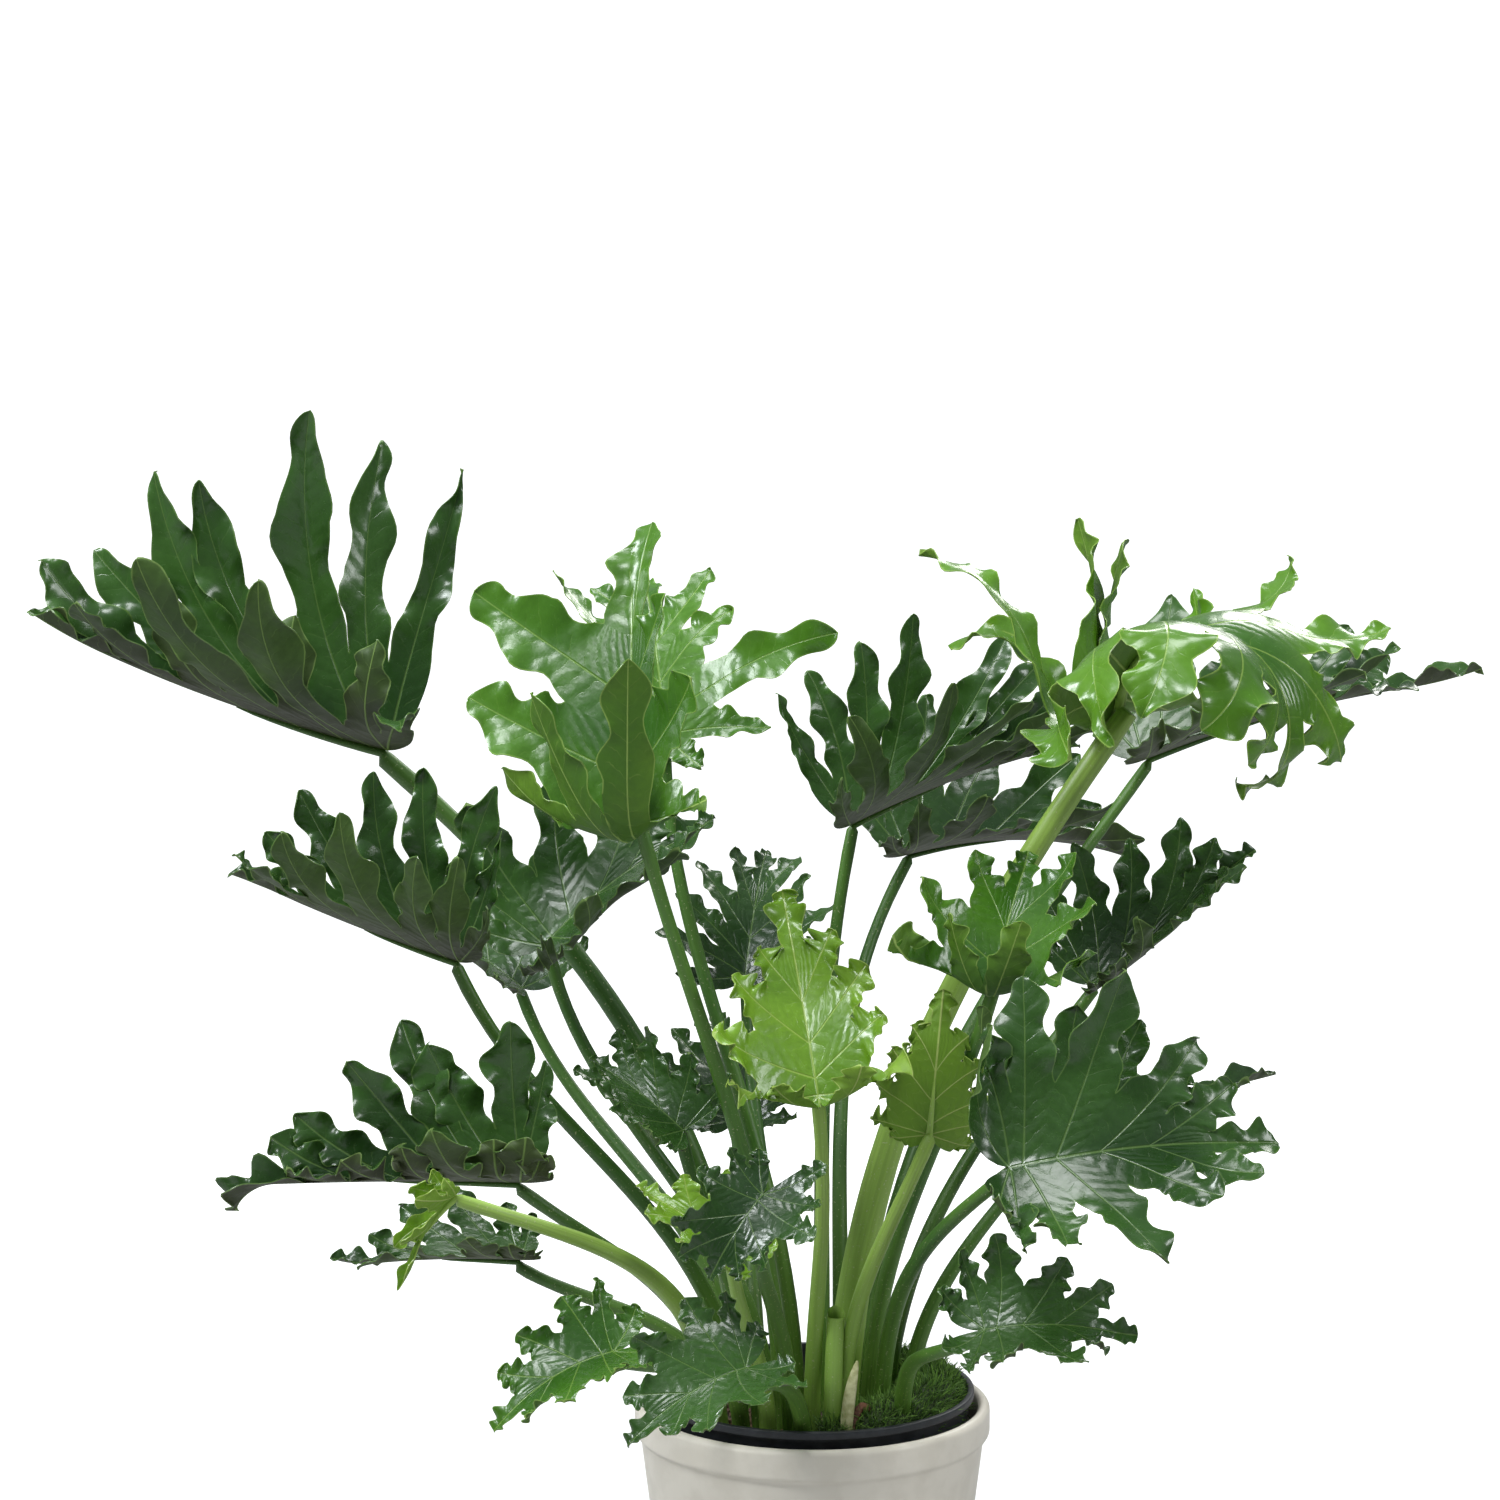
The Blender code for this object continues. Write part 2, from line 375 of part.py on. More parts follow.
def blade_grids(leaf, web_rows, free_rows, columns):
    """One grid of points for each lobe, its rows running out along the vein and its columns,
    from -1 at the left border by 0 on the vein to 1 at the right, across it.  Rows up to the
    sinus reach the border shared with the next lobe; beyond it each side's width eases from the
    sinus to the lobe's own width, times a lobed wave, and closes at the tip as a root of one
    less a power.  The free part bends about its own width and turns about its vein, and its
    margins wave along its normal."""
    leaf = {**LEAF_DEFAULTS, **leaf}
    rng = np.random.default_rng(leaf["seed"])
    lobes = lobe_list(leaf, rng)
    cut = leaf["cut"]
    up = leaf_frame(leaf)[2]
    middles, sinuses = [], []
    for a, b in zip(lobes[:-1], lobes[1:]):
        tip = a if a["side"] == 0 else b
        joined = a["side"] == 0 or b["side"] == 0
        middles.append(tip["start"] if joined else (a["start"] + b["start"]) / 2)
        sinuses.append((vein(a, cut) + vein(b, cut)) / 2)
    web = np.linspace(0, 1, web_rows + 1)
    free = free_shares(free_rows)
    share = np.concatenate([web * cut, cut + (1 - cut) * free[1:]])
    outward = np.concatenate([np.zeros(web_rows + 1), free[1:]])
    few = 4 if leaf["lobes"] <= 4 else leaf["lobes"]
    grids = []
    for number, lobe in enumerate(lobes):
        own = lobe["own"]
        width = 0.0575 * leaf["slim"] * (5.5 / (few + 0.5)) ** 0.6
        width *= own.get("wide", 1) * (0.8 + 0.4 * lobe["reach"])
        phases = rng.uniform(0, 2 * pi, 2)
        beats = rng.uniform(1.6, 2.4, 2)
        spine = vein(lobe, share)
        right = vein_right(lobe, share)
        borders = []
        for side, phase in ((-1, phases[0]), (1, phases[1])):
            border = number - 1 if side < 0 else number
            if 0 <= border < len(lobes) - 1:
                middle, sinus = middles[border], sinuses[border]
                webbed = middle + (sinus - middle) * web[:, None]
            else:
                bulge = 1.1 * width * np.sin(web * pi / 2) ** 0.8
                webbed = spine[:web_rows + 1] + side * right[:web_rows + 1] * bulge[:, None]
                sinus = webbed[-1]
            offset = sinus - spine[web_rows]
            start = abs(offset @ right[web_rows])
            lag = offset - side * start * right[web_rows]
            ease = (1 - free) ** 3
            profile = start * ease + width * (1 - ease)
            profile = profile * np.clip(1 - free ** leaf["blunt"], 0, 1) ** 0.62
            lobing = 0.26 * np.sin(2 * pi * beats[0] * free + phase) * np.minimum(1, 4 * free)
            profile = profile * (1 + lobing)
            edge = spine[web_rows:] + side * right[web_rows:] * profile[:, None]
            edge = edge + lag * ease[:, None]
            borders.append(np.concatenate([webbed, edge[1:]]))
        left_edge, right_edge = borders
        t = columns[None, :, None]
        reach_left = spine[:, None] + (left_edge - spine)[:, None] * -t
        reach_right = spine[:, None] + (right_edge - spine)[:, None] * t
        flat = np.where(t < 0, reach_left, reach_right)
        placed = lay(leaf, flat)
        placed_spine = lay(leaf, spine)

        step = 0.001
        across = unit(lay(leaf, spine + step * right) - lay(leaf, spine - step * right))
        ahead_flat = np.stack([-right[:, 1], right[:, 0]], -1)
        ahead = unit(lay(leaf, spine + step * ahead_flat) - lay(leaf, spine - step * ahead_flat))
        curl = leaf["curl"] + rng.uniform(-26, 26)
        if lobe["side"] != 0 and lobe["index"] <= 1 and leaf["base_curl"] is not None:
            curl = leaf["base_curl"] + rng.uniform(-10, 10)
        curl = radians(own.get("curl", curl))
        twist = radians(own.get("twist", rng.uniform(-1, 1) * leaf["twist"]))
        halfway = np.concatenate([[0], (outward[1:] + outward[:-1]) / 2])
        steps = np.diff(placed_spine, axis=0)
        steps = np.einsum("kij,kj->ki", turning(across, curl * halfway)[1:], steps)
        bent = placed_spine[0] + np.concatenate([np.zeros((1, 3)), np.cumsum(steps, 0)])
        turns = turning(across, curl * outward) @ turning(ahead, twist * outward)
        from_spine = placed - placed_spine[:, None]
        points = bent[:, None] + np.einsum("kij,kmj->kmi", turns, from_spine)
        points[:web_rows + 1] = placed[:web_rows + 1]

        normal = np.einsum("kij,kj->ki", turns, unit(np.cross(across, ahead)))
        if normal[0] @ up < 0:
            normal = -normal
        height = leaf["wave"] * leaf["length"] * (1 + rng.uniform(-0.3, 0.3))
        swell = np.minimum(1, 3 * outward) * (1 - 0.4 * outward)
        for side, phase in ((-1, phases[0]), (1, phases[1])):
            half = np.sign(columns) == side
            beat = np.sin(2 * pi * beats[1] * outward + phase)
            lift = height * (swell * beat)[:, None] * np.abs(columns[half]) ** 1.6
            points[:, half] += lift[..., None] * normal[:, None]
        grids.append(dict(points=points, flat=flat, lobe=lobe, share=share))
    return grids


def sheet(grids):
    """Points and triangles of one open sheet from a blade's grids.  Points at the same place
    are made one, and triangles that closed up are left out."""
    points = np.concatenate([grid["points"].reshape(-1, 3) for grid in grids])
    triangles, first = [], 0
    for grid in grids:
        rows, columns, _ = grid["points"].shape
        index = np.arange(rows * columns).reshape(rows, columns) + first
        a, b, c, d = index[:-1, :-1], index[:-1, 1:], index[1:, 1:], index[1:, :-1]
        triangles += [np.stack([a, b, c], -1).reshape(-1, 3), np.stack([a, c, d], -1).reshape(-1, 3)]
        first += rows * columns
    places = np.round(points * 1e5).astype(np.int64)
    _, kept, place = np.unique(places, axis=0, return_index=True, return_inverse=True)
    triangles = place.reshape(-1)[np.concatenate(triangles)]
    a, b, c = triangles.T
    return points[kept], triangles[(a != b) & (b != c) & (a != c)]


def stalk_path(leaf):
    """Points of a stalk: straight in its hole, then a cubic Bezier curve to just under the
    joint, which it reaches along the leaf's arrive direction.  Its end cap stays below the
    blade by the joint room plus the cap's own tilt."""
    x, y = leaf["foot"]
    joint, _, up, _ = leaf_frame(leaf)
    floor = np.array([x, y, SOIL_TOP - HOLE_DEPTH + GAP])
    start = np.array([x, y, SOIL_TOP + 0.004])
    arrive = unit(np.array(leaf["arrive"], float))
    edge = leaf["thick"][1] * np.sqrt(1 - (arrive @ up) ** 2)
    end = joint - (JOINT_ROOM + edge) * up
    span = end - start
    length = np.linalg.norm(span)
    leave = unit(np.array([span[0] * 0.18, span[1] * 0.18, abs(span[2]) + 0.12]))
    handle_a = start + 0.40 * length * leave
    handle_b = end - 0.35 * length * arrive
    t = np.linspace(0, 1, STALK_POINTS)[:, None]
    curve = ((1 - t) ** 3 * start + 3 * (1 - t) ** 2 * t * handle_a
             + 3 * (1 - t) * t ** 2 * handle_b + t ** 3 * end)
    return np.concatenate([[floor], curve])


def stalk_radii(leaf):
    """Radii along a stalk, thinning evenly from its foot to its joint."""
    thick, thin = leaf["thick"]
    return np.concatenate([[thick], np.linspace(thick, thin, STALK_POINTS)])


def material(name, colour, roughness, metallic=0.0):
    """A plain Principled material."""
    result = bpy.data.materials.new(name)
    result.use_nodes = True
    shader = result.node_tree.nodes["Principled BSDF"]
    shader.inputs["Base Color"].default_value = (*colour, 1)
    shader.inputs["Roughness"].default_value = roughness
    shader.inputs["Metallic"].default_value = metallic
    return result


def add_object(name, data, look, group):
    """Link an object with one material to a collection."""
    result = bpy.data.objects.new(name, data)
    if look is not None:
        data.materials.append(look)
    group.objects.link(result)
    return result


def mesh_object(name, points, faces, look, group):
    """An object from points and faces, with its faces turned outward where it is closed."""
    data = bpy.data.meshes.new(name)
    data.from_pydata([tuple(p) for p in points], [], [tuple(int(i) for i in f) for f in faces])
    data.validate()
    return add_object(name, data, look, group)


def solid_outward(obj):
    """Turn a closed mesh's faces outward."""
    mesh = bmesh.new()
    mesh.from_mesh(obj.data)
    bmesh.ops.recalc_face_normals(mesh, faces=mesh.faces)
    mesh.to_mesh(obj.data)
    mesh.free()


def tube(name, path, radii, look, group, resolution=1):
    """A bevelled curve with filled caps; resolution 1 gives six sides."""
    data = bpy.data.curves.new(name, "CURVE")
    data.dimensions = "3D"
    data.bevel_depth = 1.0
    data.bevel_resolution = resolution
    data.use_fill_caps = True
    spline = data.splines.new("POLY")
    spline.points.add(len(path) - 1)
    for point, place, radius in zip(spline.points, path, radii):
        point.co = (*place, 1)
        point.radius = radius
    return add_object(name, data, look, group)


def turned(name, profile, look, group, steps=ROUND_STEPS):
    """A closed profile of (radius, height) points turned about the upright axis."""
    points = [(radius, 0, height) for radius, height in profile]
    data = bpy.data.meshes.new(name)
    edges = [(i, i + 1) for i in range(len(points) - 1)]
    if profile[0][0] > 0:
        edges.append((len(points) - 1, 0))
    data.from_pydata(points, edges, [])
    obj = add_object(name, data, look, group)
    screw = obj.modifiers.new("Turn", "SCREW")
    screw.axis = "Z"
    screw.steps = steps
    screw.render_steps = steps
    screw.use_merge_vertices = True
    screw.merge_threshold = 0.00005
    return obj


def pot_profile():
    """Pot wall, from the middle of its floor up its inside and down its outside."""
    shoulder = POT_HEIGHT - RIM_DEPTH
    inner = POT_RADIUS - POT_WALL
    inner_foot = POT_FOOT_RADIUS - POT_WALL
    return [(0, POT_FLOOR), (inner_foot - 0.006, POT_FLOOR), (inner_foot, POT_FLOOR + 0.006),
            (inner - RIM_OUT, shoulder), (inner - 0.003, POT_HEIGHT - 0.004), (inner, POT_HEIGHT),
            (POT_RADIUS - 0.004, POT_HEIGHT), (POT_RADIUS, POT_HEIGHT - 0.004),
            (POT_RADIUS, shoulder + 0.005), (POT_RADIUS - RIM_OUT, shoulder),
            (POT_FOOT_RADIUS, 0.004), (POT_FOOT_RADIUS - 0.003, 0), (0, 0)]


def liner_profile():
    """Thin liner standing on the pot's floor, with a narrow turned-out lip."""
    base = POT_FLOOR + GAP
    inner_foot = LINER_FOOT_RADIUS - LINER_WALL
    inner_top = LINER_RADIUS - LINER_WALL
    lip = LINER_TOP - 0.008
    return [(0, base + LINER_WALL), (inner_foot, base + LINER_WALL), (inner_top, lip),
            (inner_top, LINER_TOP), (LINER_RADIUS + 0.004, LINER_TOP), (LINER_RADIUS + 0.004, lip),
            (LINER_RADIUS, lip), (LINER_FOOT_RADIUS, base), (0, base)]


def soil_profile():
    """Soil filling the liner up to its top edge's bevel."""
    base = POT_FLOOR + 2 * GAP + LINER_WALL
    slope = (LINER_RADIUS - LINER_FOOT_RADIUS) / (LINER_TOP - 0.008 - POT_FLOOR - GAP)
    foot = LINER_FOOT_RADIUS - LINER_WALL - 2 * GAP
    edge = SOIL_TOP - 0.006
    top = foot + slope * (edge - base)
    return [(0, SOIL_TOP), (top - 0.008, SOIL_TOP), (top, edge), (foot, base), (0, base)]


def moss_mound(look, group):
    """A crescent of moss on the soil: half an ellipse for a section, tapered at both ends as
    the square root of a sine and swelled by a slow seeded wave."""
    rng = np.random.default_rng(41)
    sections, around = 19, 5
    turns = np.radians(np.linspace(MOSS_FROM, MOSS_TO, sections))
    middle = (MOSS_INNER + MOSS_OUTER) / 2
    half = (MOSS_OUTER - MOSS_INNER) / 2
    arc = np.linspace(0, pi, around)
    taper = np.sqrt(np.sin(np.linspace(0.06, 0.94, sections) * pi))
    swell = 1 + 0.14 * rng.uniform(-1, 1, sections)
    radius = middle + half * taper[:, None] * np.cos(arc)
    height = SOIL_TOP + GAP + MOSS_HEIGHT * (taper * swell)[:, None] * np.sin(arc)
    points = np.stack([radius * np.cos(turns)[:, None], radius * np.sin(turns)[:, None], height], -1)
    index = np.arange(sections * around).reshape(sections, around)
    ahead = np.roll(index, -1, axis=1)
    sides = np.stack([index[:-1], ahead[:-1], ahead[1:], index[1:]], -1).reshape(-1, 4)
    faces = sides.tolist() + [index[0].tolist(), index[-1][::-1].tolist()]
    mound = mesh_object("moss", points.reshape(-1, 3), faces, look, group)
    solid_outward(mound)
    return mound


def as_mesh(tubes, name, group):
    """Closed copies of tubes as one mesh object, to cut with."""
    joined = bmesh.new()
    depsgraph = bpy.context.evaluated_depsgraph_get()
    for obj in tubes:
        data = bpy.data.meshes.new_from_object(obj.evaluated_get(depsgraph))
        data.transform(obj.matrix_world)
        joined.from_mesh(data)
        bpy.data.meshes.remove(data)
        curve = obj.data
        bpy.data.objects.remove(obj)
        bpy.data.curves.remove(curve)
    bmesh.ops.remove_doubles(joined, verts=joined.verts, dist=0.00001)
    bmesh.ops.recalc_face_normals(joined, faces=joined.faces)
    data = bpy.data.meshes.new(name)
    joined.to_mesh(data)
    joined.free()
    result = add_object(name, data, None, group)
    result.hide_render = True
    result.display_type = "WIRE"
    return result


def hole_cutter(places, group):
    """Upright plugs, one for each stalk's hole in the soil."""
    plugs = bmesh.new()
    for (x, y), radius in places:
        corner = (radius + HOLE_ROOM) / cos(pi / HOLE_SIDES)
        made = bmesh.ops.create_cone(plugs, cap_ends=True, segments=HOLE_SIDES,
                                     depth=HOLE_DEPTH + 0.02, radius1=corner, radius2=corner)
        height = SOIL_TOP - HOLE_DEPTH + (HOLE_DEPTH + 0.02) / 2
        bmesh.ops.translate(plugs, verts=made["verts"], vec=Vector((x, y, height)))
    data = bpy.data.meshes.new("soil_holes")
    plugs.to_mesh(data)
    plugs.free()
    result = add_object("soil_holes", data, None, group)
    result.hide_render = True
    result.display_type = "WIRE"
    return result


def cut_away(obj, cutter):
    """Cut one object out of another."""
    boolean = obj.modifiers.new("Cut", "BOOLEAN")
    boolean.operation = "DIFFERENCE"
    boolean.solver = "MANIFOLD"
    boolean.object = cutter


def build():
    """Make every piece of the plant and its pot."""
    for obj in list(bpy.data.objects):
        bpy.data.objects.remove(obj)
    scene = bpy.context.scene.collection
    plant = bpy.data.collections.new("philodendron_selloum")
    cutters = bpy.data.collections.new("cutters")
    scene.children.link(plant)
    scene.children.link(cutters)
    pale_skin = material("stalk_pale", (0.32, 0.44, 0.13), 0.42)
    tones = {
        "dark": (material("leaf_dark", (0.045, 0.12, 0.035), 0.38),
                 material("stalk_green", (0.16, 0.30, 0.07), 0.42)),
        "mid": (material("leaf_mid", (0.07, 0.20, 0.035), 0.36),
                material("stalk_light", (0.21, 0.36, 0.09), 0.42)),
        "fresh": (material("leaf_fresh", (0.12, 0.28, 0.045), 0.36), pale_skin),
        "young": (material("leaf_young", (0.20, 0.38, 0.06), 0.36), pale_skin),
    }
    turned("pot", pot_profile(), material("pale_pot", (0.78, 0.73, 0.64), 0.45), plant)
    turned("nursery_liner", liner_profile(), material("black_plastic", (0.02, 0.022, 0.026), 0.5), plant)
    soil = turned("soil", soil_profile(), material("soil", (0.06, 0.04, 0.028), 0.95), plant)
    moss = moss_mound(material("moss", (0.07, 0.13, 0.035), 0.9), plant)

    clearances, holes = [], []
    for name, leaf in LEAVES.items():
        blade_look, stalk_look = tones[leaf["tone"]]
        points, triangles = sheet(blade_grids(leaf, WEB_ROWS, FREE_ROWS, np.array(COLUMNS)))
        blade = mesh_object(f"blade_{name}", points, triangles, blade_look, plant)
        shell = blade.modifiers.new("Thickness", "SOLIDIFY")
        shell.thickness = BLADE_THICKNESS
        shell.offset = 0
        path, radii = stalk_path(leaf), stalk_radii(leaf)
        tube(f"stalk_{name}", path, radii, stalk_look, plant)
        clearances.append(tube(f"clear_{name}", path[:4], radii[:4] + STALK_CLEARANCE, None, cutters))
        holes.append((leaf["foot"], radii[0]))

    x, y = CUT_STALK_PLACE
    cut_path = [(x, y, SOIL_TOP - HOLE_DEPTH + GAP), (x, y, SOIL_TOP + 0.02),
                (x + 0.004, y - 0.002, CUT_STALK_TOP)]
    cut_radii = [CUT_STALK_RADIUS * 1.1, CUT_STALK_RADIUS * 1.1, CUT_STALK_RADIUS]
    tube("cut_stalk", cut_path, cut_radii, tones["young"][1], plant)
    holes.append((CUT_STALK_PLACE, cut_radii[0]))
    root_look = material("root_brown", (0.21, 0.08, 0.045), 0.8)
    tube("aerial_root", ROOT_PATH, [ROOT_RADIUS] * len(ROOT_PATH), root_look, plant)
    for end in (ROOT_PATH[0], ROOT_PATH[-1]):
        holes.append((end[:2], ROOT_RADIUS + 0.002))
    clearances.append(tube("clear_cut_stalk", cut_path, np.array(cut_radii) + STALK_CLEARANCE, None, cutters))
    root_room = [ROOT_RADIUS + STALK_CLEARANCE] * len(ROOT_PATH)
    clearances.append(tube("clear_root", ROOT_PATH, root_room, None, cutters))
    cut_away(soil, hole_cutter(holes, cutters))
    cut_away(moss, as_mesh(clearances, "moss_clearances", cutters))


build()
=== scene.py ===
"""The look of a split-leaf philodendron standing in its pot: fine waved blades with their veins,
stalks that run on under the blades, moss, soil, a root, and the pot with its black liner."""
from math import cos, pi, radians, sin

import bpy
import numpy as np
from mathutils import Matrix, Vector


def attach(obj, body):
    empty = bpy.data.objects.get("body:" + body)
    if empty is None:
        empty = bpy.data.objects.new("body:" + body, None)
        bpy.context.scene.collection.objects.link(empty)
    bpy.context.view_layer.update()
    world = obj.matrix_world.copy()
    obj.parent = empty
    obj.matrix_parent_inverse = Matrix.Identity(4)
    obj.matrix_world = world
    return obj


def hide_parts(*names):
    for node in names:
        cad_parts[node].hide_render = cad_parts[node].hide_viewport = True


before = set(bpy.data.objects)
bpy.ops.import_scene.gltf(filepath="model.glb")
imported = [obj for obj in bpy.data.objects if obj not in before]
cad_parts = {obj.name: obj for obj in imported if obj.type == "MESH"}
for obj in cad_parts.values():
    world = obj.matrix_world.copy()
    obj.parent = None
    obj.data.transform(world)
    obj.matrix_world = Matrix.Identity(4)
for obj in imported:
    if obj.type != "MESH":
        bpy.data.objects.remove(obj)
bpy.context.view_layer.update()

# Pot, liner and soil, as the CAD has them, with the pot's edges before they are rounded
POT_RADIUS = 0.180
POT_HEIGHT = 0.320
POT_FOOT_RADIUS = 0.138
POT_WALL = 0.009
POT_FLOOR = 0.012
RIM_DEPTH = 0.034
RIM_OUT = 0.006
RIM_STEP = 0.005
POT_EDGE = 0.004
POT_SMALL_EDGE = 0.003
POT_FLOOR_CORNER = 0.006
LINER_RADIUS = 0.160
LINER_FOOT_RADIUS = 0.120
LINER_TOP = 0.334
LINER_WALL = 0.0022
LIP_DEPTH = 0.008
LIP_OUT = 0.004
SOIL_TOP = 0.306
GAP = 0.0004
HOLE_DEPTH = 0.030
JOINT_ROOM = 0.0034

# Moss, cut stalk and root, as the CAD has them
MOSS_FROM = -88
MOSS_TO = 62
MOSS_INNER = 0.096
MOSS_OUTER = 0.151
MOSS_HEIGHT = 0.044
CUT_STALK_PLACE = (0.017, -0.114)
CUT_STALK_TOP = 0.445
CUT_STALK_RADIUS = 0.0085
ROOT_RADIUS = 0.0045
ROOT_PATH = [(0.033, -0.132, 0.285), (0.034, -0.131, 0.314), (0.038, -0.126, 0.336),
             (0.046, -0.119, 0.346), (0.054, -0.110, 0.338), (0.058, -0.105, 0.316),
             (0.058, -0.104, 0.285)]

# The dry sheath that only the scene has
SHEATH_RADIUS = 0.0065
SHEATH_PATH = [(0.030, -0.129, 0.300), (0.031, -0.131, 0.335), (0.035, -0.133, 0.368),
               (0.041, -0.134, 0.396)]

# How finely the pieces are worked out
WEB_ROWS = 7
FREE_ROWS = 28
COLUMNS = np.linspace(-1, 1, 9)
STALK_RINGS = 26
STALK_SIDES = 14
RIDGE_RINGS = 9
BARK_CHIPS = 420
MOSS_SPRIGS = 5200

# Blades: the thickness, the height of the fine ripples as a share of the waves' height, and how
# far a lobe's margins rise over its vein as a share of the distance between them
BLADE_THICKNESS = 0.0009
RIPPLE = 0.55
GUTTER = 0.24

# Lobes: half the width of a middling one in blade lengths, the bow of its vein as a share of its
# reach, the depth of its outline's slow waves as a share of its half width, and the power that
# rounds its tip
LOBE_HALF_WIDTH = 0.0575
LOBE_BOW = 0.12
LOBE_SWELL = 0.26
TIP_ROUNDNESS = 0.62

# The most that a seeded draw changes a lobe: its turn and curls in degrees, the rest as shares
TURN_PLAY = 5
CURL_PLAY = 26
BASE_CURL_PLAY = 10
REACH_PLAY = 0.14
BOW_PLAY = 0.16
WAVE_PLAY = 0.3

# Stalks: how far one stands straight over the soil, how much it leans and rises where it
# leaves, and its curve's two handles as shares of the way to the joint
STRAIGHT_RISE = 0.004
LEAVE_LEAN = 0.18
LEAVE_RISE = 0.12
LEAVE_HANDLE = 0.40
ARRIVE_HANDLE = 0.35

# The knee where a stalk swells under its blade, in shares of the stalk, and the ridge that goes
# on from it under the midrib: its reach in blade lengths, its radius as a share of the stalk's
# and how far it hangs as a share of its radius
KNEE_PLACE = 0.97
KNEE_LENGTH = 0.04
KNEE_SWELL = 0.10
RIDGE_FROM = 0.015
RIDGE_TO = 0.42
RIDGE_THICKNESS = 0.55
RIDGE_HANG = 0.85

# Marks on a blade, in metres on its maps, and how far the side veins slant
LOBE_VEIN_WIDTH = 0.0021
LOBE_VEIN_LEAST = 0.0007
LOBE_VEIN_TAPER = 0.0075
MIDRIB_WIDTH = 0.0022
MARGIN_WIDTH = 0.0017
SIDE_VEIN_SPACING = 0.017
SIDE_VEIN_WANDER = 0.012
SIDE_VEIN_SLANT = 0.85

# The two sides of a blade: how strongly its veins and side veins show, the least roughness,
# the shine, and how strongly the veins are pressed in, or raised on the under side
BLADE_SIDES = {
    "upper": dict(veins=0.48, roughness=0.17, shine=0.50, relief=0.38),
    "under": dict(veins=0.70, roughness=0.44, shine=0.28, relief=0.50),
}

# Leaf tones: a deep green, a light green and the veins for each side of a blade, the colour of
# the under side where its lobes start, and the stalk's slot with the greens of its skin and foot
TONES = {
    "dark": dict(
        upper=((0.011, 0.039, 0.006), (0.034, 0.094, 0.015), (0.12, 0.21, 0.05)),
        under=((0.030, 0.062, 0.012), (0.060, 0.120, 0.022), (0.18, 0.28, 0.07)),
        start=(0.030, 0.026, 0.013),
        slot="stalk_green", skin=(0.040, 0.125, 0.012), foot=(0.10, 0.21, 0.025)),
    "mid": dict(
        upper=((0.024, 0.092, 0.006), (0.062, 0.170, 0.012), (0.22, 0.36, 0.07)),
        under=((0.055, 0.140, 0.010), (0.110, 0.220, 0.016), (0.30, 0.43, 0.10)),
        start=(0.035, 0.105, 0.010),
        slot="stalk_light", skin=(0.060, 0.170, 0.016), foot=(0.13, 0.25, 0.035)),
    "fresh": dict(
        upper=((0.030, 0.105, 0.005), (0.080, 0.200, 0.010), (0.30, 0.44, 0.09)),
        under=((0.090, 0.200, 0.014), (0.150, 0.290, 0.024), (0.38, 0.52, 0.14)),
        start=(0.090, 0.200, 0.020),
        slot="stalk_pale", skin=(0.300, 0.470, 0.080), foot=(0.22, 0.38, 0.06)),
    "young": dict(
        upper=((0.080, 0.190, 0.009), (0.150, 0.290, 0.018), (0.36, 0.47, 0.11)),
        under=((0.130, 0.250, 0.018), (0.210, 0.340, 0.034), (0.44, 0.54, 0.16)),
        start=(0.13, 0.26, 0.02),
        slot="stalk_pale", skin=(0.300, 0.470, 0.080), foot=(0.22, 0.38, 0.06)),
}

# Plain finishes: two tones, the pattern's scale, the middle roughness and the bumps' depth
PLAIN_FINISHES = {
    "pale_glaze": dict(dark=(0.70, 0.65, 0.555), light=(0.76, 0.71, 0.615), scale=34.0,
                       roughness=0.42, depth=0.0004),
    "black_liner": dict(dark=(0.010, 0.012, 0.015), light=(0.022, 0.025, 0.030), scale=60.0,
                        roughness=0.46, depth=0.0003),
    "potting_soil": dict(dark=(0.016, 0.010, 0.007), light=(0.075, 0.050, 0.034), scale=210.0,
                         roughness=0.95, depth=0.0015),
    "bark": dict(dark=(0.060, 0.032, 0.018), light=(0.20, 0.125, 0.075), scale=90.0,
                 roughness=0.85, depth=0.001),
    "moss_mat": dict(dark=(0.014, 0.028, 0.008), light=(0.060, 0.105, 0.026), scale=320.0,
                     roughness=0.9, depth=0.002),
    "dry_sheath_skin": dict(dark=(0.36, 0.36, 0.16), light=(0.58, 0.58, 0.32), scale=120.0,
                            roughness=0.6, depth=0.0005),
    "root_bark": dict(dark=(0.075, 0.026, 0.014), light=(0.26, 0.115, 0.065), scale=150.0,
                      roughness=0.72, depth=0.0008),
    "cut_face": dict(dark=(0.42, 0.44, 0.27), light=(0.62, 0.62, 0.45), scale=260.0,
                     roughness=0.6, depth=0.0004),
}

# Camera: 3 m in front of the plant's middle and 4 degrees down, with a view 1.5 m wide there
CAMERA_AIM = (-0.063, 0.0, 0.98)
CAMERA_DISTANCE = 3.0
CAMERA_DOWN = 4.0
CAMERA_LENS = 72.0
CAMERA_SENSOR = 36.0

# Floor: the radius of its flat part, the radius of the curve up to its wall, and the wall's top
FLOOR_RADIUS = 7.0
FLOOR_CURVE = 2.0
FLOOR_WALL_TOP = 4.6

